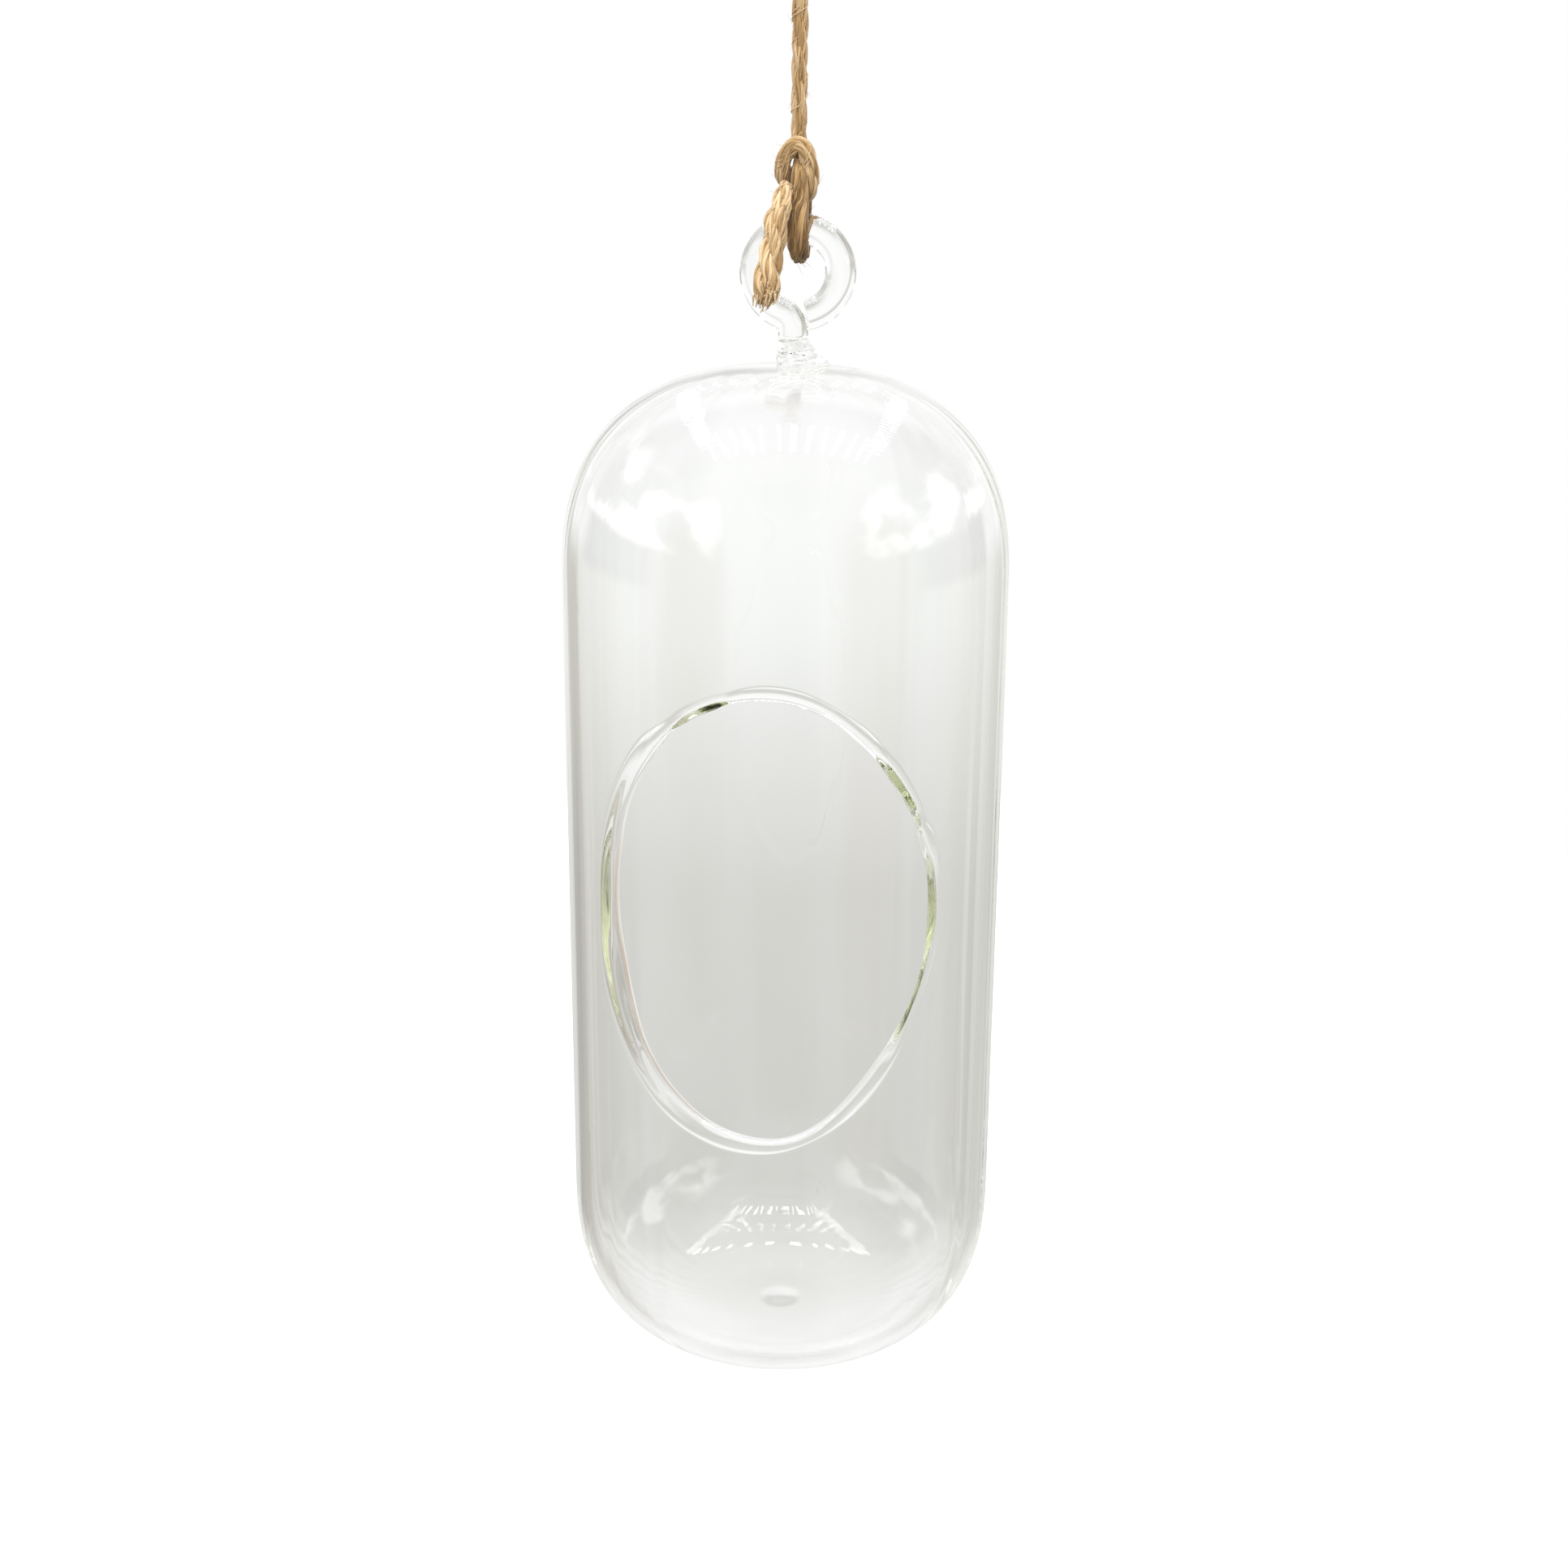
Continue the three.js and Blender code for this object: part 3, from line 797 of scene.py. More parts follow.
@dataclass
class JuteCord:
    """The length of twine that the vessel hangs on, with its knots, loop and tail."""

    twine: Twine = field(default_factory=Twine)
    slack_twine: Twine = field(
        default_factory=lambda: Twine(bundles=16, ply_pitch=30.0, squeeze=0.6)
    )
    knot_top: float = -47.0
    knot_bottom: float = -54.6
    leg_top: float = -55.05
    rod_height: float = -58.45
    loop_reach: float = 3.1
    leg_straight: float = 0.6
    front_leg: Span = (0.0, -2.0)
    rear_leg: Span = (0.6, 2.0)
    eye_knot_top: float = -22.0
    eye_knot_bottom: float = -28.4
    eye_leg: float = 1.05
    eye_half_width: float = 5.5
    wrap_turns: float = 2.25
    wrap_across: float = 1.89
    wrap_deep: float = 1.53
    wrap_inset: float = 1.26
    twist_top: float = -30.0
    # Painted light and shade: the standing cord and eye wrap are made a little paler and the loop
    # much deeper, as lit and shaded copies of one jute.
    cord_painted_light_tone: float = 0.1
    loop_painted_shade_tone: float = -0.35
    clearance: float = 0.3
    turn_steps: int = 12
    run_wraps: int = 64
    run_hairs: int = 90
    eye_hairs: int = 20
    coil_wraps: int = 16
    coil_hairs: int = 110
    coil_ragged: int = 6
    tuft_reach: float = 1.45
    tuft_fibres: int = 140
    loop_hairs: int = 30
    coil_radius: Stops = (
        (0, 0.95), (0.5, 0.95), (0.62, 1.0), (0.72, 1.2), (0.9, 1.28), (0.96, 1.25), (1, 0.9),
    )
    coil_spread: Stops = (
        (0, 1.0), (0.6, 1.0), (0.7, 1.25), (0.85, 1.3), (0.93, 1.6), (0.97, 1.7), (1, 1.3),
    )
    # Painted light along the knot's coil and tail, paler where lit and less so at the frayed tip.
    coil_painted_light_tone: Stops = ((0, 0.26), (0.45, 0.3), (0.6, 0.33), (0.88, 0.33), (1, 0.13))
    loop_radius: Stops = (
        (0, 0.7), (0.1, 0.95), (0.25, 1.28), (0.42, 1.25), (0.55, 1.05), (0.65, 0.95), (1, 0.9),
    )
    seed: int = 7

    def rng(self, number: int) -> np.random.Generator:
        """Make the source of one piece's differences."""
        return np.random.default_rng([self.seed, number])

    def run_route(self) -> Route:
        """List the points from the loop's rear leg up through both knots and round the eye.

        Returns:
            The points, in millimetres.
        """
        top, bottom, half = self.eye_knot_top, self.eye_knot_bottom, self.eye_half_width
        rise = [(self.eye_leg, 0.0, top + up) for up in (-1.3, 0, 1)]
        rise += [(0.7 * half, 0.0, 0.62 * top), (half, 0.0, 0.3 * top)]
        rise += [(0.68 * half, 0.0, 0.05 * top)]
        fall = [(-x, y, z) for x, y, z in reversed(rise)]
        straight = [self.knot_top, -40.0, -34.0, bottom, bottom + 1]
        return [
            (*self.rear_leg, self.knot_bottom),
            (*self.rear_leg, self.knot_bottom + 1),
            (0.3, 0.8, self.knot_top - 3.4),
            (0.0, 0.1, self.knot_top - 1.2),
            *((0.0, 0.0, height) for height in straight),
            *rise,
            (0.0, 0.0, 0.9),
            *fall,
            (-0.9, 0.0, bottom + 2.4),
        ]

    def coil_route(self) -> Route:
        """List the points of the working end: coil of the knot and hanging tail.

        Returns:
            The points, in millimetres.
        """
        heights = [
            (0.5, -0.4, 3.2), (0.05, 0.7, 2.6), (-0.65, 1.2, 1.9), (-1.4, 0.9, 1.55),
            (-1.8, 0.2, 1.95), (-1.85, -0.5, 2.9), (-1.6, -1.0, 4.25), (-1.05, -1.25, 5.2),
            (-0.25, -1.45, 5.6), (0.55, -1.5, 5.15), (1.1, -1.45, 4.1), (1.4, -1.2, 2.6),
            (1.45, -0.8, 1.2), (1.1, -0.35, 0.2), (0.4, -0.05, -0.2), (-0.35, -0.2, -0.05),
            (-1.0, -0.9, 0.35), (-1.45, -2.0, 0.6), (-1.7, -3.1, 0.25), (-1.9, -4.3, -0.9),
            (-2.5, -5.6, -2.6), (-2.9, -6.6, -5.6), (-3.5, -7.4, -8.8), (-3.75, -7.95, -11.8),
        ]
        return [(x, y, self.knot_bottom + z) for x, y, z in heights]

    def loop_route(self) -> Route:
        """List the points of the loop from the knot's middle down round the ring's rod.

        Returns:
            The points, in millimetres.
        """
        slant = self.loop_reach * math.sqrt(0.5)
        (front_x, front_y), (rear_x, rear_y) = self.front_leg, self.rear_leg
        rod, reach = self.rod_height, self.loop_reach
        return [
            (0.1, -0.5, self.knot_bottom + 3.6),
            (front_x, front_y + 0.1, self.knot_bottom + 1.8),
            (front_x, front_y, self.leg_top - self.leg_straight),
            (front_x, -reach, rod),
            (front_x, -slant, rod - slant),
            ((front_x + rear_x) / 2, 0.0, rod - reach),
            (rear_x, slant, rod - slant),
            (rear_x, reach, rod),
            (rear_x, rear_y, self.leg_top - self.leg_straight),
            (rear_x, rear_y, self.knot_bottom),
        ]

    def along(self, line: Points, stops: Stops) -> Points:
        """Read a value that changes along a line from its stops, in shares of its length."""
        run = run_along(line)
        return read_stops(stops, run / run[-1])

    def build_run(self, jute: Material) -> list[Piece]:
        """Build the standing cord, from the loop's rear leg up to the eye.

        Args:
            jute: The jute.

        Returns:
            The cord, which runs between the hanger and the knot, and its eye's wrap.
        """
        line = smooth_line(self.run_route(), self.twine.step)
        rng = self.rng(1)
        radius = np.full(len(line), self.twine.diameter / 2)
        close = np.ones(len(line))
        mesh = self.twine.lay_up(line, radius, close, self.cord_painted_light_tone * close, rng)
        self.twine.add_wraps(mesh, line, radius, self.run_wraps, rng)
        self.twine.add_hairs(mesh, line, radius, self.run_hairs, rng)
        cord = mesh.to_piece("cord_run", jute)
        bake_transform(cord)
        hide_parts("hanging_cord", "eye_loop")
        wrap = self.build_wrap(jute)
        return [cord, wrap]

    def build_wrap(self, jute: Material) -> Piece:
        """Build the coil of the knot under the eye.

        Args:
            jute: The jute.

        Returns:
            The coil, riding on the hanger.
        """
        steps = round(self.turn_steps * self.wrap_turns)
        top = self.eye_knot_top - self.clearance - self.wrap_inset
        bottom = self.eye_knot_bottom + self.wrap_inset
        share = np.linspace(0, 1, steps + 1)
        turn = FULL_TURN * self.wrap_turns * share
        across = self.wrap_across * np.cos(turn)
        deep = self.wrap_deep * np.sin(turn)
        coil = np.stack([across, deep, top + (bottom - top) * share], axis=1)
        line = smooth_line(coil.tolist(), self.twine.step)
        rng = self.rng(2)
        radius = np.full(len(line), self.twine.diameter / 2)
        close = np.ones(len(line))
        mesh = self.twine.lay_up(line, radius, close, self.cord_painted_light_tone * close, rng)
        self.twine.add_hairs(mesh, line, radius, self.eye_hairs, rng)
        wrap = mesh.to_piece("eye_wrap", jute)
        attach(wrap, Body.HANGER.value)
        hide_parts("eye_knot")
        return wrap

    def build_coil(self, jute: Material) -> Piece:
        """Build the knot's coil and the frayed tail, one strand.

        Args:
            jute: The jute.

        Returns:
            The strand, riding on the knot.
        """
        line = smooth_line(self.coil_route(), self.twine.step)
        rng = self.rng(3)
        radius = self.along(line, self.coil_radius)
        spread = self.along(line, self.coil_spread)
        # Painted light along the coil and tail.
        painted_light_tone = self.along(line, self.coil_painted_light_tone)
        mesh = self.twine.lay_up(line, radius, spread, painted_light_tone, rng, self.coil_ragged)
        self.twine.add_wraps(mesh, line, radius, self.coil_wraps, rng)
        self.twine.add_tuft(mesh, line, self.tuft_reach, self.tuft_fibres, rng)
        self.twine.add_hairs(mesh, line, radius, self.coil_hairs, rng)
        strand = mesh.to_piece("knot_coil_and_tail", jute)
        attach(strand, Body.KNOT.value)
        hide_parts("ring_knot", "cord_tail")
        return strand

    def build_loop(self, jute: Material) -> Piece:
        """Build the loop that carries the ring.

        Args:
            jute: The jute.

        Returns:
            The loop, which bends under the knot.
        """
        line = smooth_line(self.loop_route(), self.twine.step)
        rng = self.rng(4)
        radius = self.along(line, self.loop_radius)
        close = np.ones(len(line))
        mesh = self.slack_twine.lay_up(line, radius, close, self.loop_painted_shade_tone * close, rng)
        self.twine.add_hairs(mesh, line, radius, self.loop_hairs, rng)
        loop = mesh.to_piece("ring_loop", jute)
        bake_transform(loop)
        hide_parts("ring_bight")
        return loop

    def build(self, jute: Material) -> list[Piece]:
        """Build every piece of the cord."""
        return [*self.build_run(jute), self.build_coil(jute), self.build_loop(jute)]


@dataclass
class GlassVessel:
    """Blown capsule with an egg-shaped mouth and a fire-polished lip."""

    diameter: float = 54.6
    height: float = 127.0
    wall: float = 1.4
    dome_height: float = 25.7
    dome_fullness: float = 2.47
    base_corner: float = 21.5
    base_fullness: float = 2.65
    base_flat: float = 14.0
    pontil_diameter: float = 4.7
    pontil_rise: float = 0.25
    mouth_width: float = 45.2
    mouth_height: float = 56.0
    mouth_centre: float = 65.4
    mouth_turn: float = math.radians(-4.5)
    mouth_drawn_in: tuple[float, ...] = (0.05, 0.012, -0.012, 0.065)
    lip_diameter: float = 2.0
    lip_least: float = 0.72
    lip_swell: float = 0.12
    lip_waves: tuple[int, int] = (2, 11)
    lip_wave_least: float = 0.4
    lip_rows: int = 17
    lip_fade: tuple[float, ...] = (0.15, 0.3, 0.45, 0.6, 0.72, 0.9, 1.2, 1.8, 3.0)
    lip_squareness: Stops = (
        (-180, 2.0), (-40, 2.0), (-25, 4.5), (8, 4.5), (14, 2.6), (22, 2.6), (26, 4.5),
        (46, 4.5), (56, 2.0), (98, 2.0), (106, 4.5), (122, 4.5), (132, 2.0), (180, 2.0),
    )
    lip_fullness: Stops = (
        (-180, 1.2), (-135, 1.2), (-110, 1.0), (-45, 1.0), (-28, 0.74), (10, 0.74),
        (16, 0.95), (21, 0.95), (26, 0.74), (46, 0.74), (58, 1.0), (96, 1.0),
        (105, 0.74), (122, 0.74), (134, 1.0), (150, 1.2), (180, 1.2),
    )
    lip_lean: Stops = (
        (-180, 0.4), (-130, 0.4), (-80, 0.0), (-36, 0.0), (-26, -0.6), (-12, -0.6),
        (-4, 0.0), (22, 0.0), (28, -0.9), (44, -0.9), (54, 0.0), (100, 0.0),
        (106, -0.6), (116, -0.6), (130, 0.2), (145, 0.4), (180, 0.4),
    )
    draw_line: float = 0.016
    draw_waves: tuple[int, int, int] = (5, 60, 4)
    draw_least: float = 0.3
    floor_hole: float = 0.1
    floor_rings: int = 9
    columns: int = 240
    cap_rows: int = 44
    patch_half_columns: int = 40
    patch_low: float = 32.0
    patch_high: float = 99.6
    patch_rows: int = 52
    patch_rings: int = 11
    nudge: float = 1e-4
    seed: int = 3

    @property
    def radius(self) -> float:
        """Outer radius of the straight wall."""
        return self.diameter / 2

    def axis(self) -> Place:
        """Read the foot of the vessel's axis from the frame."""
        low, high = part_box("glass_body")
        return (low.x + high.x) / 2 / MM, high.y / MM - self.radius, low.z / MM

    def cap(self, flat: float, radius: float, height: float, fullness: float) -> Points:
        """Trace a rounded corner from a flat out to the wall.

        Args:
            flat: Radius of the flat.
            radius: Radius of the wall.
            height: Height of the corner.
            fullness: Squareness of the corner, 2 for an ellipse.

        Returns:
            Radius and height of each point, from the flat to the wall.
        """
        angle = np.linspace(math.pi / 2, 0, self.cap_rows + 1)
        out = np.clip(np.cos(angle), 0, 1) ** (2 / fullness)
        up = 1 - np.clip(np.sin(angle), 0, 1) ** (2 / fullness)
        return np.stack([flat + (radius - flat) * out, height * up], axis=1)

    def profile(self, inset: float) -> tuple[Points, Points]:
        """Trace the base and the dome of a face of the wall.

        Args:
            inset: Distance inside the outer face.

        Returns:
            Base profile upwards from near the middle, and dome profile up to near the top.
        """
        radius = self.radius - inset
        flat = self.base_flat / 2
        base = self.cap(flat, radius, self.base_corner - inset, self.base_fullness)
        base[:, 1] += inset
        inner = np.linspace(self.floor_hole, 1, self.floor_rings)[:-1] * flat
        rise = self.pontil_rise * np.clip(1 - (2 * inner / self.pontil_diameter) ** 2, 0, 1)
        floor = np.stack([inner, inset + (rise if inset > 0 else 0 * rise)], axis=1)
        dome = self.cap(0.0, radius, self.dome_height - inset, self.dome_fullness)[::-1]
        dome[:, 1] = self.height - inset - dome[:, 1]
        return np.vstack([floor, base]), dome[:-1]

    def outline(self, turn: Points) -> Points:
        """Trace the mouth on the unrolled wall.

        Args:
            turn: Angles round the mouth.

        Returns:
            Distance along the wall from the mouth's middle and height above the base.
        """
        across, up = np.cos(turn), np.sin(turn)
        quarter = np.where(up >= 0, np.where(across >= 0, 0, 1), np.where(across >= 0, 3, 2))
        size = 1 - np.array(self.mouth_drawn_in)[quarter] * np.sin(2 * turn) ** 2
        return np.stack(
            [
                size * across * self.mouth_width / 2,
                self.mouth_centre + size * up * self.mouth_height / 2,
            ],
            axis=1,
        )

    def ripple(self, angle: Points, waves: Points, least: float, fall: float) -> Points:
        """Add up waves of seeded sizes round a circle.

        Args:
            angle: Angles round the circle.
            waves: Crests of each wave.
            least: Least size of a wave against the largest.
            fall: How fast waves of more crests get smaller, 0 for not at all.

        Returns:
            Height of the ripple at each angle.
        """
        rng = np.random.default_rng(self.seed)
        phases = rng.uniform(0, FULL_TURN, len(waves))
        sizes = rng.uniform(least, 1.0, len(waves)) / waves**fall
        return sum(s * np.sin(w * angle + p) for s, w, p in zip(sizes, waves, phases))

    def draw_lines(self, angle: Points) -> Points:
        """Give the faint upright ripple that drawing leaves in the tube.

        Args:
            angle: Angles round the vessel.

        Returns:
            How far the wall stands out at each angle.
        """
        waves = np.arange(*self.draw_waves)
        height = self.draw_line / math.sqrt(len(waves))
        return height * self.ripple(angle, waves, self.draw_least, 0.0)

    def place(self, angle: Points, height: Points, radius: Points, axis: Place) -> Points:
        """Put points of the wall into the frame of the part.

        Args:
            angle: Angle of each point round the axis.
            height: Its height above the base.
            radius: Its distance from the axis.
            axis: Foot of the axis.

        Returns:
            The points.
        """
        wavy = radius + self.draw_lines(angle) * np.clip(radius / self.radius, 0, 1)
        across, deep = axis[0] + wavy * np.sin(angle), axis[1] - wavy * np.cos(angle)
        return np.stack(np.broadcast_arrays(across, deep, axis[2] + height), axis=-1)

    def lip_radius(self, turn: Points) -> Points:
        """Give the lip's uneven radius round the mouth, as fire polishing leaves it.

        Args:
            turn: Angles round the mouth.

        Returns:
            Radius of the lip at each angle.
        """
        swell = self.ripple(turn, np.arange(*self.lip_waves), self.lip_wave_least, 0.5)
        full = self.round_mouth(self.lip_fullness, turn)
        radius = self.lip_diameter / 2 * full * (1 + self.lip_swell * swell * full)
        return np.maximum(radius, self.lip_least)

    def round_mouth(self, stops: Stops, turn: Points) -> Points:
        """Read a value that changes round the mouth, from its stops in degrees."""
        return read_stops(stops, np.degrees(turn))

    def half_thickness(self, lip: Points, away: float) -> Points:
        """Give half the wall's thickness at a distance from the middle of the lip."""
        return np.sqrt(np.maximum(lip**2 - away**2, (self.wall / 2) ** 2))

    def patch_border(self) -> tuple[Points, Points]:
        """List the border of the patch round the mouth, counter-clockwise from its lower left.

        Returns:
            Column of each border point from the mouth's middle, and its row.
        """
        half, rows = self.patch_half_columns, self.patch_rows
        bottom = [(c, 0) for c in range(-half, half)]
        right = [(half, r) for r in range(rows)]
        top = [(c, rows) for c in range(half, -half, -1)]
        left = [(-half, r) for r in range(rows, 0, -1)]
        columns, places = zip(*(bottom + right + top + left))
        return np.array(columns), np.array(places)

    def build(self, glass: Material) -> Piece:
        """Build the vessel as one closed wall.

        Args:
            glass: The glass.

        Returns:
            The vessel, riding on the glass body.
        """
        axis = self.axis()
        angle = self.mouth_turn + FULL_TURN * np.arange(self.columns) / self.columns
        wall_rows = np.linspace(self.patch_low, self.patch_high, self.patch_rows + 1)
        vertices: list[Points] = []
        faces: Faces = []
        grids = []
        count = 0
        for inset in (0.0, self.wall):
            base, dome = self.profile(inset)
            rows = np.vstack(
                [base, np.stack([np.full(len(wall_rows), self.radius - inset), wall_rows], 1), dome]
            )
            rings = self.place(angle[None, :], rows[:, 1:], rows[:, :1], axis)
            points = rings.reshape(-1, 3)
            skin = grid_faces(len(rows), self.columns, count)
            first_row = len(base)
            skin = [f for f in skin if not self.in_patch(f[0] - count, first_row)]
            bottom, top = count + len(points), count + len(points) + 1
            middle = [rows[0, 1] if inset == 0 else self.wall + self.pontil_rise]
            middle.append(self.height - inset)
            poles = np.array([[axis[0], axis[1], axis[2] + h] for h in middle])
            last = count + (len(rows) - 1) * self.columns
            skin += fan_faces(bottom, count, self.columns, upwards=False)
            skin += fan_faces(top, last, self.columns, upwards=True)
            faces += skin if inset == 0 else [f[::-1] for f in skin]
            vertices += [points, poles]
            grids.append((count, first_row))
            count += len(points) + 2
        patch, quads = self.build_lip(axis, wall_rows, grids, count)
        piece = make_piece("vessel", np.vstack([*vertices, patch]), faces + quads)
        return dress_glass(piece, glass, "glass_body")

    def in_patch(self, place: int, first_row: int) -> bool:
        """Tell whether a quad, by its first corner, lies in the patch round the mouth.

        Args:
            place: Place of the corner among the wall's points.
            first_row: The patch's first row.

        Returns:
            True if it lies in the patch.
        """
        row, column = divmod(place, self.columns)
        if not first_row <= row < first_row + self.patch_rows:
            return False
        half = self.patch_half_columns
        return column < half or column >= self.columns - half

    def lip_rings(self, edge: Points) -> list[tuple[Points, Points]]:
        """Lay rings of points from the patch's border in to the mouth, round the lip and back.

        Args:
            edge: The patch's border on the unrolled wall.

        Returns:
            Places on the unrolled wall, and radii, of each ring's points.
        """
        turn = np.arctan2(
            (edge[:, 1] - self.mouth_centre) / self.mouth_height, edge[:, 0] / self.mouth_width
        )
        lip = self.outline(turn)
        along = unit(self.outline(turn + self.nudge) - self.outline(turn - self.nudge))
        outward = np.stack([along[:, 1], -along[:, 0]], axis=1)
        middle = self.radius - self.wall / 2
        girth = self.lip_radius(turn)
        fade = np.array(self.lip_fade)[::-1]
        far = np.linspace(0, 1, self.patch_rings)[1:-1][::-1]
        start = lip + fade[0] * outward
        flat = [start + share * (edge - start) for share in far]
        flat += [lip + away * outward for away in fade]
        reach = [fade[0]] * len(far) + fade.tolist()
        thick = [self.half_thickness(girth, away) for away in reach]
        rings = [(ring, middle + half) for ring, half in zip(flat, thick)]
        power = 2 / self.round_mouth(self.lip_squareness, turn)
        for a in np.linspace(0, math.pi, self.lip_rows):
            rise = girth * np.sign(math.cos(a)) * abs(math.cos(a)) ** power
            inward = girth * abs(math.sin(a)) ** power
            rings.append((lip - inward[:, None] * outward, middle + rise))
        rings += [(ring, middle - half) for ring, half in zip(flat[::-1], thick[::-1])]
        lean = self.round_mouth(self.lip_lean, turn)
        faded = 1 - np.array(reach) / fade[0]
        shares = np.concatenate([faded, np.ones(self.lip_rows), faded[::-1]])
        return [
            (ring + (share * lean * (radius - middle))[:, None] * outward, radius)
            for share, (ring, radius) in zip(shares, rings)
        ]

    def build_lip(
        self, axis: Place, wall_rows: Points, grids: list[tuple[int, int]], count: int
    ) -> tuple[Points, Faces]:
        """Build the patch from the wall in to the mouth, round the lip and back out inside.

        Args:
            axis: Foot of the vessel's axis.
            wall_rows: Heights of the patch's rows.
            grids: First point and first patch row of the outer and the inner face.
            count: Points made so far.

        Returns:
            The new points, and the patch's faces.
        """
        columns, places = self.patch_border()
        step = FULL_TURN / self.columns
        rings = self.lip_rings(np.stack([columns * step * self.radius, wall_rows[places]], axis=1))
        points = [
            self.place(self.mouth_turn + ring[:, 0] / self.radius, ring[:, 1], radius, axis)
            for ring, radius in rings
        ]
        outer, inner = (
            first + (row + places) * self.columns + columns % self.columns for first, row in grids
        )
        spokes = len(columns)
        between = [count + k * spokes + np.arange(spokes) for k in range(len(rings))]
        chain = [outer, *between, inner]
        quads = []
        for near, far in zip(chain, chain[1:]):
            following = np.stack([near, np.roll(near, -1), np.roll(far, -1), far], axis=1)
            quads += [tuple(quad) for quad in following.tolist()]
        return np.vstack(points), quads

    def dome_height_at(self, x: Points, y: Points) -> Points:
        """Give the height of the outer dome over a place, in the frame of the part.

        Args:
            x: Place across.
            y: Place in depth.

        Returns:
            Height at each place.
        """
        axis = self.axis()
        out = np.hypot(x - axis[0], y - axis[1]) / self.radius
        cap = (1 - out**self.dome_fullness) ** (1 / self.dome_fullness)
        return axis[2] + self.height - self.dome_height * (1 - cap)


@dataclass
class WeldFoot:
    """Flared foot of melted glass between the dome and the ring's stem."""

    height: float = 3.0
    flare_diameter: float = 9.0
    flare_power: float = 1.35
    ripple: float = 0.06
    ripple_count: float = 3.5
    ripple_twist: float = 1.3
    ripple_rise: float = 8.0
    least_flare: float = 0.08
    stem_diameter: float = 3.6
    stem_offset: float = -0.5
    clearance: float = 0.03
    under_shares: tuple[float, ...] = (0.25, 0.5, 0.75)
    top_shares: tuple[float, ...] = (0.66, 0.33)
    columns: int = 96
    rows: int = 60

    def build(self, vessel: GlassVessel, glass: Material) -> Piece:
        """Build the foot on the dome.

        Args:
            vessel: The vessel that the foot stands on.
            glass: The glass.

        Returns:
            The foot, riding on the glass body.
        """
        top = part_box("weld_foot")[1].z / MM
        angle = FULL_TURN * np.arange(self.columns) / self.columns
        stem = self.stem_diameter / 2
        flare = self.flare_diameter / 2 - stem
        up = np.linspace(0, 1, self.rows + 1)[:, None]
        twist = self.ripple_twist * np.sin(2 * angle) + angle
        wave = np.sin(FULL_TURN * self.ripple_count * up + twist)
        side = self.least_flare + (1 - self.least_flare) * (0.5 + 0.5 * np.cos(angle))
        spread = flare * side * (1 - up) ** self.flare_power
        rippled = self.ripple * wave * (1 - up) * np.minimum(1, self.ripple_rise * up)
        radius = stem + spread + rippled
        level = top - self.height + self.height * up[:, 0]
        rings = [self.on_dome(vessel, share * radius[0], angle) for share in self.under_shares]
        for r, z in zip(radius, level):
            ring = self.on_dome(vessel, r, angle)
            ring[:, 2] = np.maximum(ring[:, 2], z) if z > level[0] else ring[:, 2]
            rings.append(ring)
        for share in self.top_shares:
            ring = self.on_dome(vessel, share * stem, angle)
            ring[:, 2] = top
            rings.append(ring)
        under = self.on_dome(vessel, np.zeros(1), np.zeros(1))
        over = np.array([[self.stem_offset, 0.0, top]])
        faces = grid_faces(len(rings), self.columns)
        low = len(rings) * self.columns
        faces += fan_faces(low, 0, self.columns, upwards=False)
        faces += fan_faces(low + 1, low - self.columns, self.columns, upwards=True)
        piece = make_piece("weld_collar", np.vstack([*rings, under, over]), faces)
        return dress_glass(piece, glass, "weld_foot")

    def on_dome(self, vessel: GlassVessel, radius: Points, angle: Points) -> Points:
        """Put a ring round the stem a little above the dome's outer face.

        Args:
            vessel: The vessel.
            radius: Radius of the ring at each angle.
            angle: Angles round the stem.

        Returns:
            The ring's points.
        """
        x = self.stem_offset + radius * np.cos(angle)
        y = radius * np.sin(angle)
        return np.stack([x, y, vessel.dome_height_at(x, y) + self.clearance], axis=1)


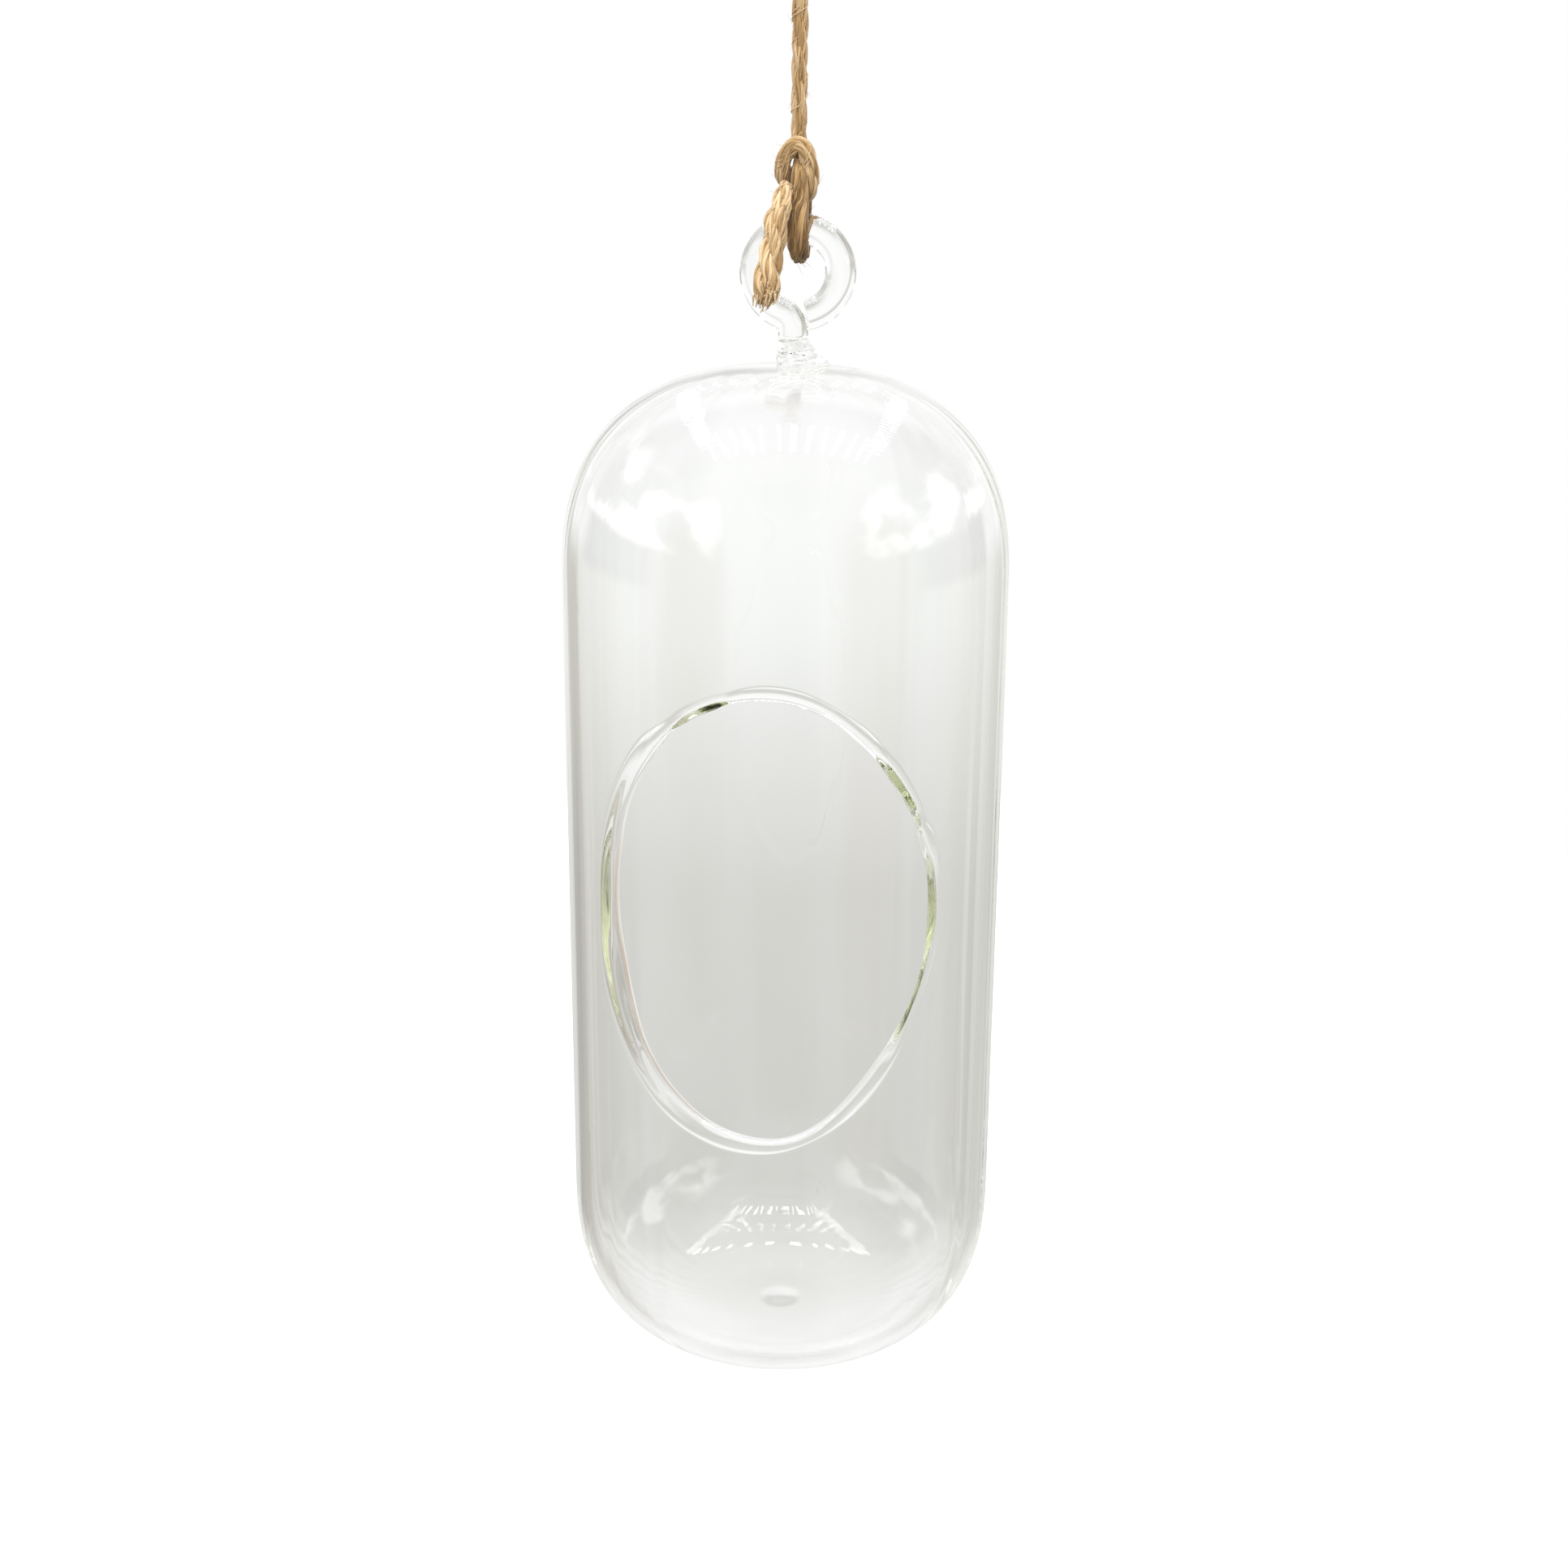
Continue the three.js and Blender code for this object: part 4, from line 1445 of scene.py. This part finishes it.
@dataclass
class HangingRing:
    """Glass rod bent into a ring, its end melted onto its own stem."""

    rod_diameter: float = 3.6
    outer_diameter: float = 13.8
    stem_offset: float = -0.5
    stem_straight: float = 0.3
    stem_sunk: float = 0.28
    bend_radius: float = 2.6
    end_angle: float = math.radians(-78)
    ring_centre: float = -63.55
    swell: float = 0.03
    swell_waves: float = 1.5
    bend_points: int = 60
    hoop_points: int = 300
    sides: int = 48
    step: float = 0.12
    voxel: float = 0.1
    melt_passes: int = 8

    def centre_line(self) -> Points:
        """Trace the rod up the stem, round the bend and clockwise round the ring.

        Returns:
            Evenly spaced points along the rod.
        """
        ring = (self.outer_diameter - self.rod_diameter) / 2
        across = self.stem_offset - self.bend_radius
        rise = math.sqrt((self.bend_radius + ring) ** 2 - across**2)
        bend_height = self.ring_centre - rise
        bend_angle = math.atan2(rise, -across)
        stem = np.array([[self.stem_offset, 0, bend_height - self.stem_straight - self.stem_sunk]])
        angle = np.linspace(0, bend_angle, self.bend_points)
        bend = np.stack(
            [
                across + self.bend_radius * np.cos(angle),
                0 * angle,
                bend_height + self.bend_radius * np.sin(angle),
            ],
            axis=1,
        )
        angle = np.linspace(math.pi + bend_angle, self.end_angle, self.hoop_points)[1:]
        hoop = np.stack(
            [ring * np.cos(angle), 0 * angle, self.ring_centre + ring * np.sin(angle)], axis=1
        )
        return even_spacing(np.vstack([stem, bend, hoop]), self.step)

    def build(self, glass: Material) -> Piece:
        """Build the ring and melt its end onto the stem.

        Args:
            glass: The glass.

        Returns:
            The ring, riding on the glass body.
        """
        line = self.centre_line()
        run = run_along(line) / run_along(line)[-1]
        wave = np.sin(FULL_TURN * self.swell_waves * run)
        radius = self.rod_diameter / 2 * (1 + self.swell * wave)
        rod = FibreMesh()
        rod.add_tube(line, side_vectors(line), radius, self.sides, 0.0)
        piece = make_piece("rod_ring", np.vstack(rod.vertices), rod.faces)
        bpy.context.view_layer.objects.active = piece
        melt = piece.modifiers.new("melt", "REMESH")
        melt.mode = "VOXEL"
        melt.voxel_size = self.voxel * MM
        melt.use_smooth_shade = True
        polish = piece.modifiers.new("polish", "SMOOTH")
        polish.iterations = self.melt_passes
        settled = bpy.data.meshes.new_from_object(
            piece.evaluated_get(bpy.context.evaluated_depsgraph_get())
        )
        piece.modifiers.clear()
        piece.data = settled
        piece.data.materials.clear()
        return dress_glass(piece, glass, "hanging_ring")


@dataclass(frozen=True)
class StudioCamera:
    """Camera at the photograph's viewing angle."""

    target: Place = (-1.2, -1.8, -126.5)
    distance: float = 268.0
    pitch: float = math.radians(17.0)
    roll: float = math.radians(0.42)
    focal_pixels: float = 2610.0
    sensor: float = 36.0
    clip: Span = (0.01, 50.0)

    def build(self) -> Piece:
        """Make the camera and look through it.

        Returns:
            The camera.
        """
        data = bpy.data.cameras.new("studio_camera")
        data.sensor_width = self.sensor
        data.lens = self.focal_pixels / PHOTO_PIXELS * self.sensor
        data.clip_start, data.clip_end = self.clip
        camera = bpy.data.objects.new("studio_camera", data)
        back = Vector((0, -math.cos(self.pitch), math.sin(self.pitch)))
        tilt = Matrix.Rotation(math.pi / 2 - self.pitch, 4, "X")
        place = Matrix.Translation((Vector(self.target) + self.distance * back) * MM)
        camera.matrix_world = place @ tilt @ Matrix.Rotation(self.roll, 4, "Z")
        bpy.context.scene.collection.objects.link(camera)
        bpy.context.scene.camera = camera
        return camera


@dataclass(frozen=True)
class SoftBox:
    """One soft lamp of the studio."""

    name: str
    place: Place
    width: float
    depth: float
    watts: float
    colour: Colour = WHITE

    def build(self, target: Place) -> Piece:
        """Make the lamp and turn it to the part.

        Args:
            target: Point that the lamp faces, in metres.

        Returns:
            The lamp.
        """
        data = bpy.data.lights.new(self.name, "AREA")
        data.shape = "RECTANGLE"
        data.size = self.width
        data.size_y = self.depth
        data.energy = self.watts
        data.color = self.colour
        lamp = bpy.data.objects.new(self.name, data)
        lamp.location = self.place
        aim = Vector(target) - Vector(self.place)
        lamp.rotation_euler = aim.to_track_quat("-Z", "Y").to_euler()
        lamp.visible_glossy = False
        lamp.visible_transmission = False
        bpy.context.scene.collection.objects.link(lamp)
        return lamp


@dataclass(frozen=True)
class LampFrame:
    """Frame of small lamps over the part, which glass mirrors as rows of ticks."""

    level: float = 20.0
    left: float = -64.0
    right: float = 72.0
    near: float = -20.0
    far: float = 172.0
    row_count: int = 13
    side_pitch: float = 7.0
    pair_gap: float = 21.0
    near_length: float = 15.0
    far_length: float = 22.0
    side_length: float = 17.0
    row_width: float = 3.4
    side_width: float = 1.7
    strength: float = 13.0

    def ticks(self) -> list[tuple[float, float, float, float]]:
        """List middle and half sizes of every small lamp round the frame.

        Returns:
            Place across, place in depth and half sizes of each lamp.
        """
        across = np.linspace(self.left, self.right, self.row_count)
        deep = np.arange(self.near + self.side_pitch, self.far, self.side_pitch)
        lengths = (
            (self.near - self.pair_gap / 2, self.near_length),
            (self.near + self.pair_gap / 2, self.near_length),
            (self.far, self.far_length),
        )
        rows = [(x, y, self.row_width / 2, length / 2) for y, length in lengths for x in across]
        sides = [
            (x, y, self.side_length / 2, self.side_width / 2)
            for x in (self.left, self.right)
            for y in deep
        ]
        return rows + sides

    def build(self) -> Piece:
        """Build the small lamps as plates that only glass shows.

        Returns:
            The lamps, kept out of the part.
        """
        plates = [
            [(x + i * half_x, y + j * half_y, self.level) for i, j in PLATE_CORNERS]
            for x, y, half_x, half_y in self.ticks()
        ]
        faces = [tuple(range(4 * k, 4 * k + 4)) for k in range(len(plates))]
        piece = make_piece("lamp_frame", np.array(plates).reshape(-1, 3), faces)
        material, nodes, shader = new_material("lamp_frame")
        nodes.tree.nodes.remove(shader)
        nodes.show(nodes.add("Emission", Strength=self.strength).outputs[0])
        piece.data.materials.append(material)
        piece.visible_camera = False
        piece.visible_diffuse = False
        piece.visible_shadow = False
        piece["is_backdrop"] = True
        return piece


@dataclass
class Studio:
    """Plain pale floor, soft light and a pale surround that the glass shows."""

    floor_drop: float = 0.08
    floor_size: float = 0.5
    floor_albedo: float = 0.35
    floor_glow: float = 0.75
    floor_fade: Span = (0.1, 0.6)
    floor_sides: int = 96
    ambient: float = 0.45
    lamps: tuple[SoftBox, ...] = (
        SoftBox("ceiling_softbox", (0.0, -0.05, 0.45), 0.7, 0.7, 4.5),
        SoftBox("front_softbox", (-0.35, -0.75, 0.25), 0.5, 0.5, 4.0),
        SoftBox("right_softbox", (0.75, -0.25, 0.15), 0.4, 0.5, 1.8),
    )
    surround: Stops = (
        (-1.0, (0.84, 0.84, 0.83)),
        (-0.88, 0.94),
        (-0.72, 1.0),
        (-0.55, (0.86, 0.86, 0.84)),
        (-0.47, (0.63, 0.63, 0.60)),
        (-0.34, (0.66, 0.66, 0.63)),
        (-0.28, (0.78, 0.78, 0.76)),
        (-0.22, (0.91, 0.92, 0.90)),
        (-0.15, (0.97, 0.98, 0.97)),
        (0.0, 1.0),
    )
    lifted_sides: Stops = ((-0.34, 0.6), (-0.18, 0.0), (0.18, 0.0), (0.34, 0.6))
    streak_stretch: Place = (1.0, 1.0, 0.06)
    streak_scale: float = 16.0
    streak_detail: float = 2.0
    streak_edge: Span = (0.3, 0.7)
    streak_range: Span = (0.96, 1.03)
    flank_tints: Stops = (
        (-0.95, (0.66, 0.60, 0.52)),
        (-0.64, (0.50, 0.48, 0.42)),
        (-0.42, (0.85, 0.84, 0.82)),
        (-0.28, 1.0),
        (0.28, 1.0),
        (0.42, (0.85, 0.85, 0.83)),
        (0.64, (0.63, 0.63, 0.59)),
        (0.95, (0.66, 0.65, 0.57)),
    )
    flank_levels: Stops = ((-0.42, 1.0), (-0.30, 0.95), (-0.14, 0.8), (-0.04, 0.0))
    flank_depths: Stops = ((0.05, 0.0), (0.30, 1.0))
    backdrop: Place = (0.0, 0.956, -0.292)
    cloth_colour: Colour = (0.38, 0.37, 0.34)
    cloth_facing: Stops = ((0.82, 0.0), (0.84, 1.0), (0.88, 0.9), (0.91, 0.0))
    cloth_levels: Stops = ((-0.62, 0.0), (-0.48, 1.0), (-0.34, 1.0), (-0.27, 0.6))
    cloth_sides: Stops = ((-0.1, 1.0), (0.2, 0.35))
    cards: tuple[tuple[Place, Colour, float], ...] = (
        ((-0.80, -0.60, -0.05), (0.64, 0.52, 0.43), 0.88),
        ((0.80, -0.60, 0.05), (0.60, 0.61, 0.50), 0.88),
    )
    card_fade: float = 0.08
    flag_colour: Colour = (0.04, 0.04, 0.035)
    flag_depths: Stops = ((-0.35, 0.0), (-0.20, 1.0), (0.52, 1.0), (0.62, 0.0))
    flag_levels: Stops = (
        (-0.15, 0.05), (-0.10, 0.75), (0.08, 0.75), (0.14, 0.25),
        (0.44, 0.25), (0.54, 0.45), (0.80, 0.4), (0.95, 0.05),
    )
    flag_wander: float = 0.2
    cloud_levels: Stops = ((0.09, 0.0), (0.14, 1.0), (0.50, 1.0), (0.70, 0.0))
    cloud_sides: Stops = ((-0.70, 1.0), (-0.50, 0.0), (0.50, 0.0), (0.70, 1.0))
    cloud_scale: float = 2.4
    cloud_detail: float = 4.0
    cloud_edge: Span = (0.48, 0.62)
    cloud_glow: float = 2.2

    def build(self) -> None:
        """Build the surround, the lamps and the floor."""
        low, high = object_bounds()
        middle = tuple((low + high) / 2)
        self.build_world()
        for lamp in self.lamps:
            lamp.build(middle)
        LampFrame().build()
        self.build_floor(low.z - self.floor_drop)

    def background_rays(self, nodes: NodeBench) -> tuple[Socket, ...]:
        """Tell rays that the camera sends from rays that reach a surface by way of glass.

        Args:
            nodes: The bench of the surround or the surface.

        Returns:
            Factors for camera rays and for rays by way of glass.
        """
        path = nodes.add("LightPath").outputs
        by_glass = nodes.maths("MAXIMUM", path["Is Glossy Ray"], path["Is Transmission Ray"])
        return path["Is Camera Ray"], by_glass

    def walls(self, nodes: NodeBench, towards: Socket) -> Socket:
        """Grade the far walls, with their faint streaks, dim flanks and hanging cloth.

        Args:
            nodes: The surround's bench.
            towards: Direction of a ray.

        Returns:
            The socket of the walls' colour.
        """
        x, y, z = nodes.add("SeparateXYZ", Vector=towards).outputs
        pale = nodes.mix(nodes.graded(x, self.lifted_sides), nodes.graded(z, self.surround), WHITE)
        flat = nodes.stretched(towards, self.streak_stretch)
        streaks = nodes.noise(flat, self.streak_scale, self.streak_detail)
        (thin, thick), (dim, bright) = self.streak_edge, self.streak_range
        bands = nodes.scaled(streaks, From_Min=thin, From_Max=thick, To_Min=dim, To_Max=bright)
        low = nodes.times(nodes.graded(z, self.flank_levels), nodes.graded(y, self.flank_depths))
        flank = nodes.graded(x, self.flank_tints)
        walls = nodes.mix(low, nodes.times(pale, bands), flank, "MULTIPLY")
        cloth = nodes.graded(nodes.facing(towards, self.backdrop), self.cloth_facing)
        cloth = nodes.times(cloth, nodes.graded(z, self.cloth_levels))
        cloth = nodes.times(cloth, nodes.graded(x, self.cloth_sides))
        return nodes.mix(cloth, walls, self.cloth_colour)

    def screens(
        self, nodes: NodeBench, towards: Socket, walls: Socket
    ) -> Socket:
        """Stand coloured cards and dark flags before the walls, and bright clouds over them.

        Args:
            nodes: The surround's bench.
            towards: Direction of a ray.
            walls: The socket of the walls' colour.

        Returns:
            The socket of the surround's colour.
        """
        for goal, colour, rim in self.cards:
            near = nodes.facing(towards, goal)
            card = nodes.scaled(near, From_Min=rim, From_Max=rim + self.card_fade)
            walls = nodes.mix(card, walls, colour)
        x, y, z = nodes.add("SeparateXYZ", Vector=towards).outputs
        patches = nodes.noise(towards, self.cloud_scale, self.cloud_detail)
        wander = nodes.maths("MULTIPLY_ADD", patches, self.flag_wander, -self.flag_wander / 2)
        deep = nodes.graded(nodes.maths("ADD", y, wander), self.flag_depths)
        flags = nodes.times(deep, nodes.graded(z, self.flag_levels))
        walls = nodes.mix(flags, walls, self.flag_colour)
        low, high = self.cloud_edge
        edge = nodes.scaled(
            patches,
            interpolation_type="SMOOTHSTEP",
            From_Min=low,
            From_Max=high,
            To_Max=self.cloud_glow,
        )
        clouds = nodes.times(nodes.graded(z, self.cloud_levels), nodes.graded(x, self.cloud_sides))
        return nodes.mix(edge, walls, clouds, "ADD")

    def build_world(self) -> None:
        """Make the surround: white behind the part, softly graded where glass shows it."""
        world = bpy.data.worlds.new("studio_surround")
        bpy.context.scene.world = world
        world.use_nodes = True
        nodes = NodeBench(world.node_tree)
        towards = nodes.add("TexCoord").outputs["Generated"]
        seen = self.screens(nodes, towards, self.walls(nodes, towards))
        camera, by_glass = self.background_rays(nodes)
        plain = nodes.mix(by_glass, (self.ambient,) * 3, seen)
        nodes.set(nodes.tree.nodes["Background"], Color=nodes.mix(camera, plain, WHITE))

    def build_floor(self, level: float) -> Piece:
        """Make the floor, white to the camera and keeping the part's shadow.

        Args:
            level: Height of the floor, in metres.

        Returns:
            The floor.
        """
        angle = FULL_TURN * np.arange(self.floor_sides) / self.floor_sides
        edge = self.floor_size / MM * np.stack([np.cos(angle), np.sin(angle), 0 * angle], axis=1)
        floor = make_piece("floor", edge, [tuple(range(len(edge)))])
        floor.location.z = level
        material, nodes, shader = new_material("pale_floor")
        nodes.tree.nodes.remove(shader)
        place = nodes.add("TexCoord").outputs["Object"]
        reach = nodes.stretched(place, (1 / self.floor_size,) * 3)
        inward = nodes.add("TexGradient", gradient_type="SPHERICAL", Vector=reach).outputs["Fac"]
        low, high = self.floor_fade
        under = nodes.scaled(inward, From_Min=low, From_Max=high)
        white = nodes.mix(under, WHITE, (self.floor_glow,) * 3)
        camera, _ = self.background_rays(nodes)
        glow = nodes.add("Emission", Color=nodes.mix(camera, BLACK, white))
        matte = nodes.add("BsdfDiffuse", Color=(self.floor_albedo,) * 3)
        both = nodes.add("AddShader")
        for socket, part in zip(both.inputs, (glow, matte)):
            nodes.feed(socket, part.outputs[0])
        nodes.show(both.outputs[0])
        floor.data.materials.append(material)
        floor.visible_glossy = False
        floor.visible_transmission = False
        floor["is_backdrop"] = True
        return floor


def report(piece: Piece) -> None:
    """Log a piece's name and number of faces."""
    LOG.info("%s: %d faces", piece.name, len(piece.data.polygons))


def follow_light_in_glass(bounces: int) -> None:
    """Let light be followed far enough along the glass wall to leave it again.

    Args:
        bounces: Most bounces of one path.
    """
    cycles = bpy.context.scene.cycles
    cycles.max_bounces = bounces
    cycles.transmission_bounces = bounces
    cycles.glossy_bounces = bounces


def main() -> None:
    """Build the camera, the cord, the glass and the studio, in that order."""
    logging.basicConfig(level=logging.INFO, format="%(name)s: %(message)s")
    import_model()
    bpy.context.scene.view_settings.view_transform = "Standard"
    follow_light_in_glass(GLASS_BOUNCES)
    StudioCamera().build()
    jute = NaturalJute().material()
    glass = ClearGlass().material()
    pieces = JuteCord().build(jute)
    vessel = GlassVessel()
    pieces += [vessel.build(glass), WeldFoot().build(vessel, glass), HangingRing().build(glass)]
    for piece in pieces:
        report(piece)
    Studio().build()


if __name__ == "__main__":
    main()
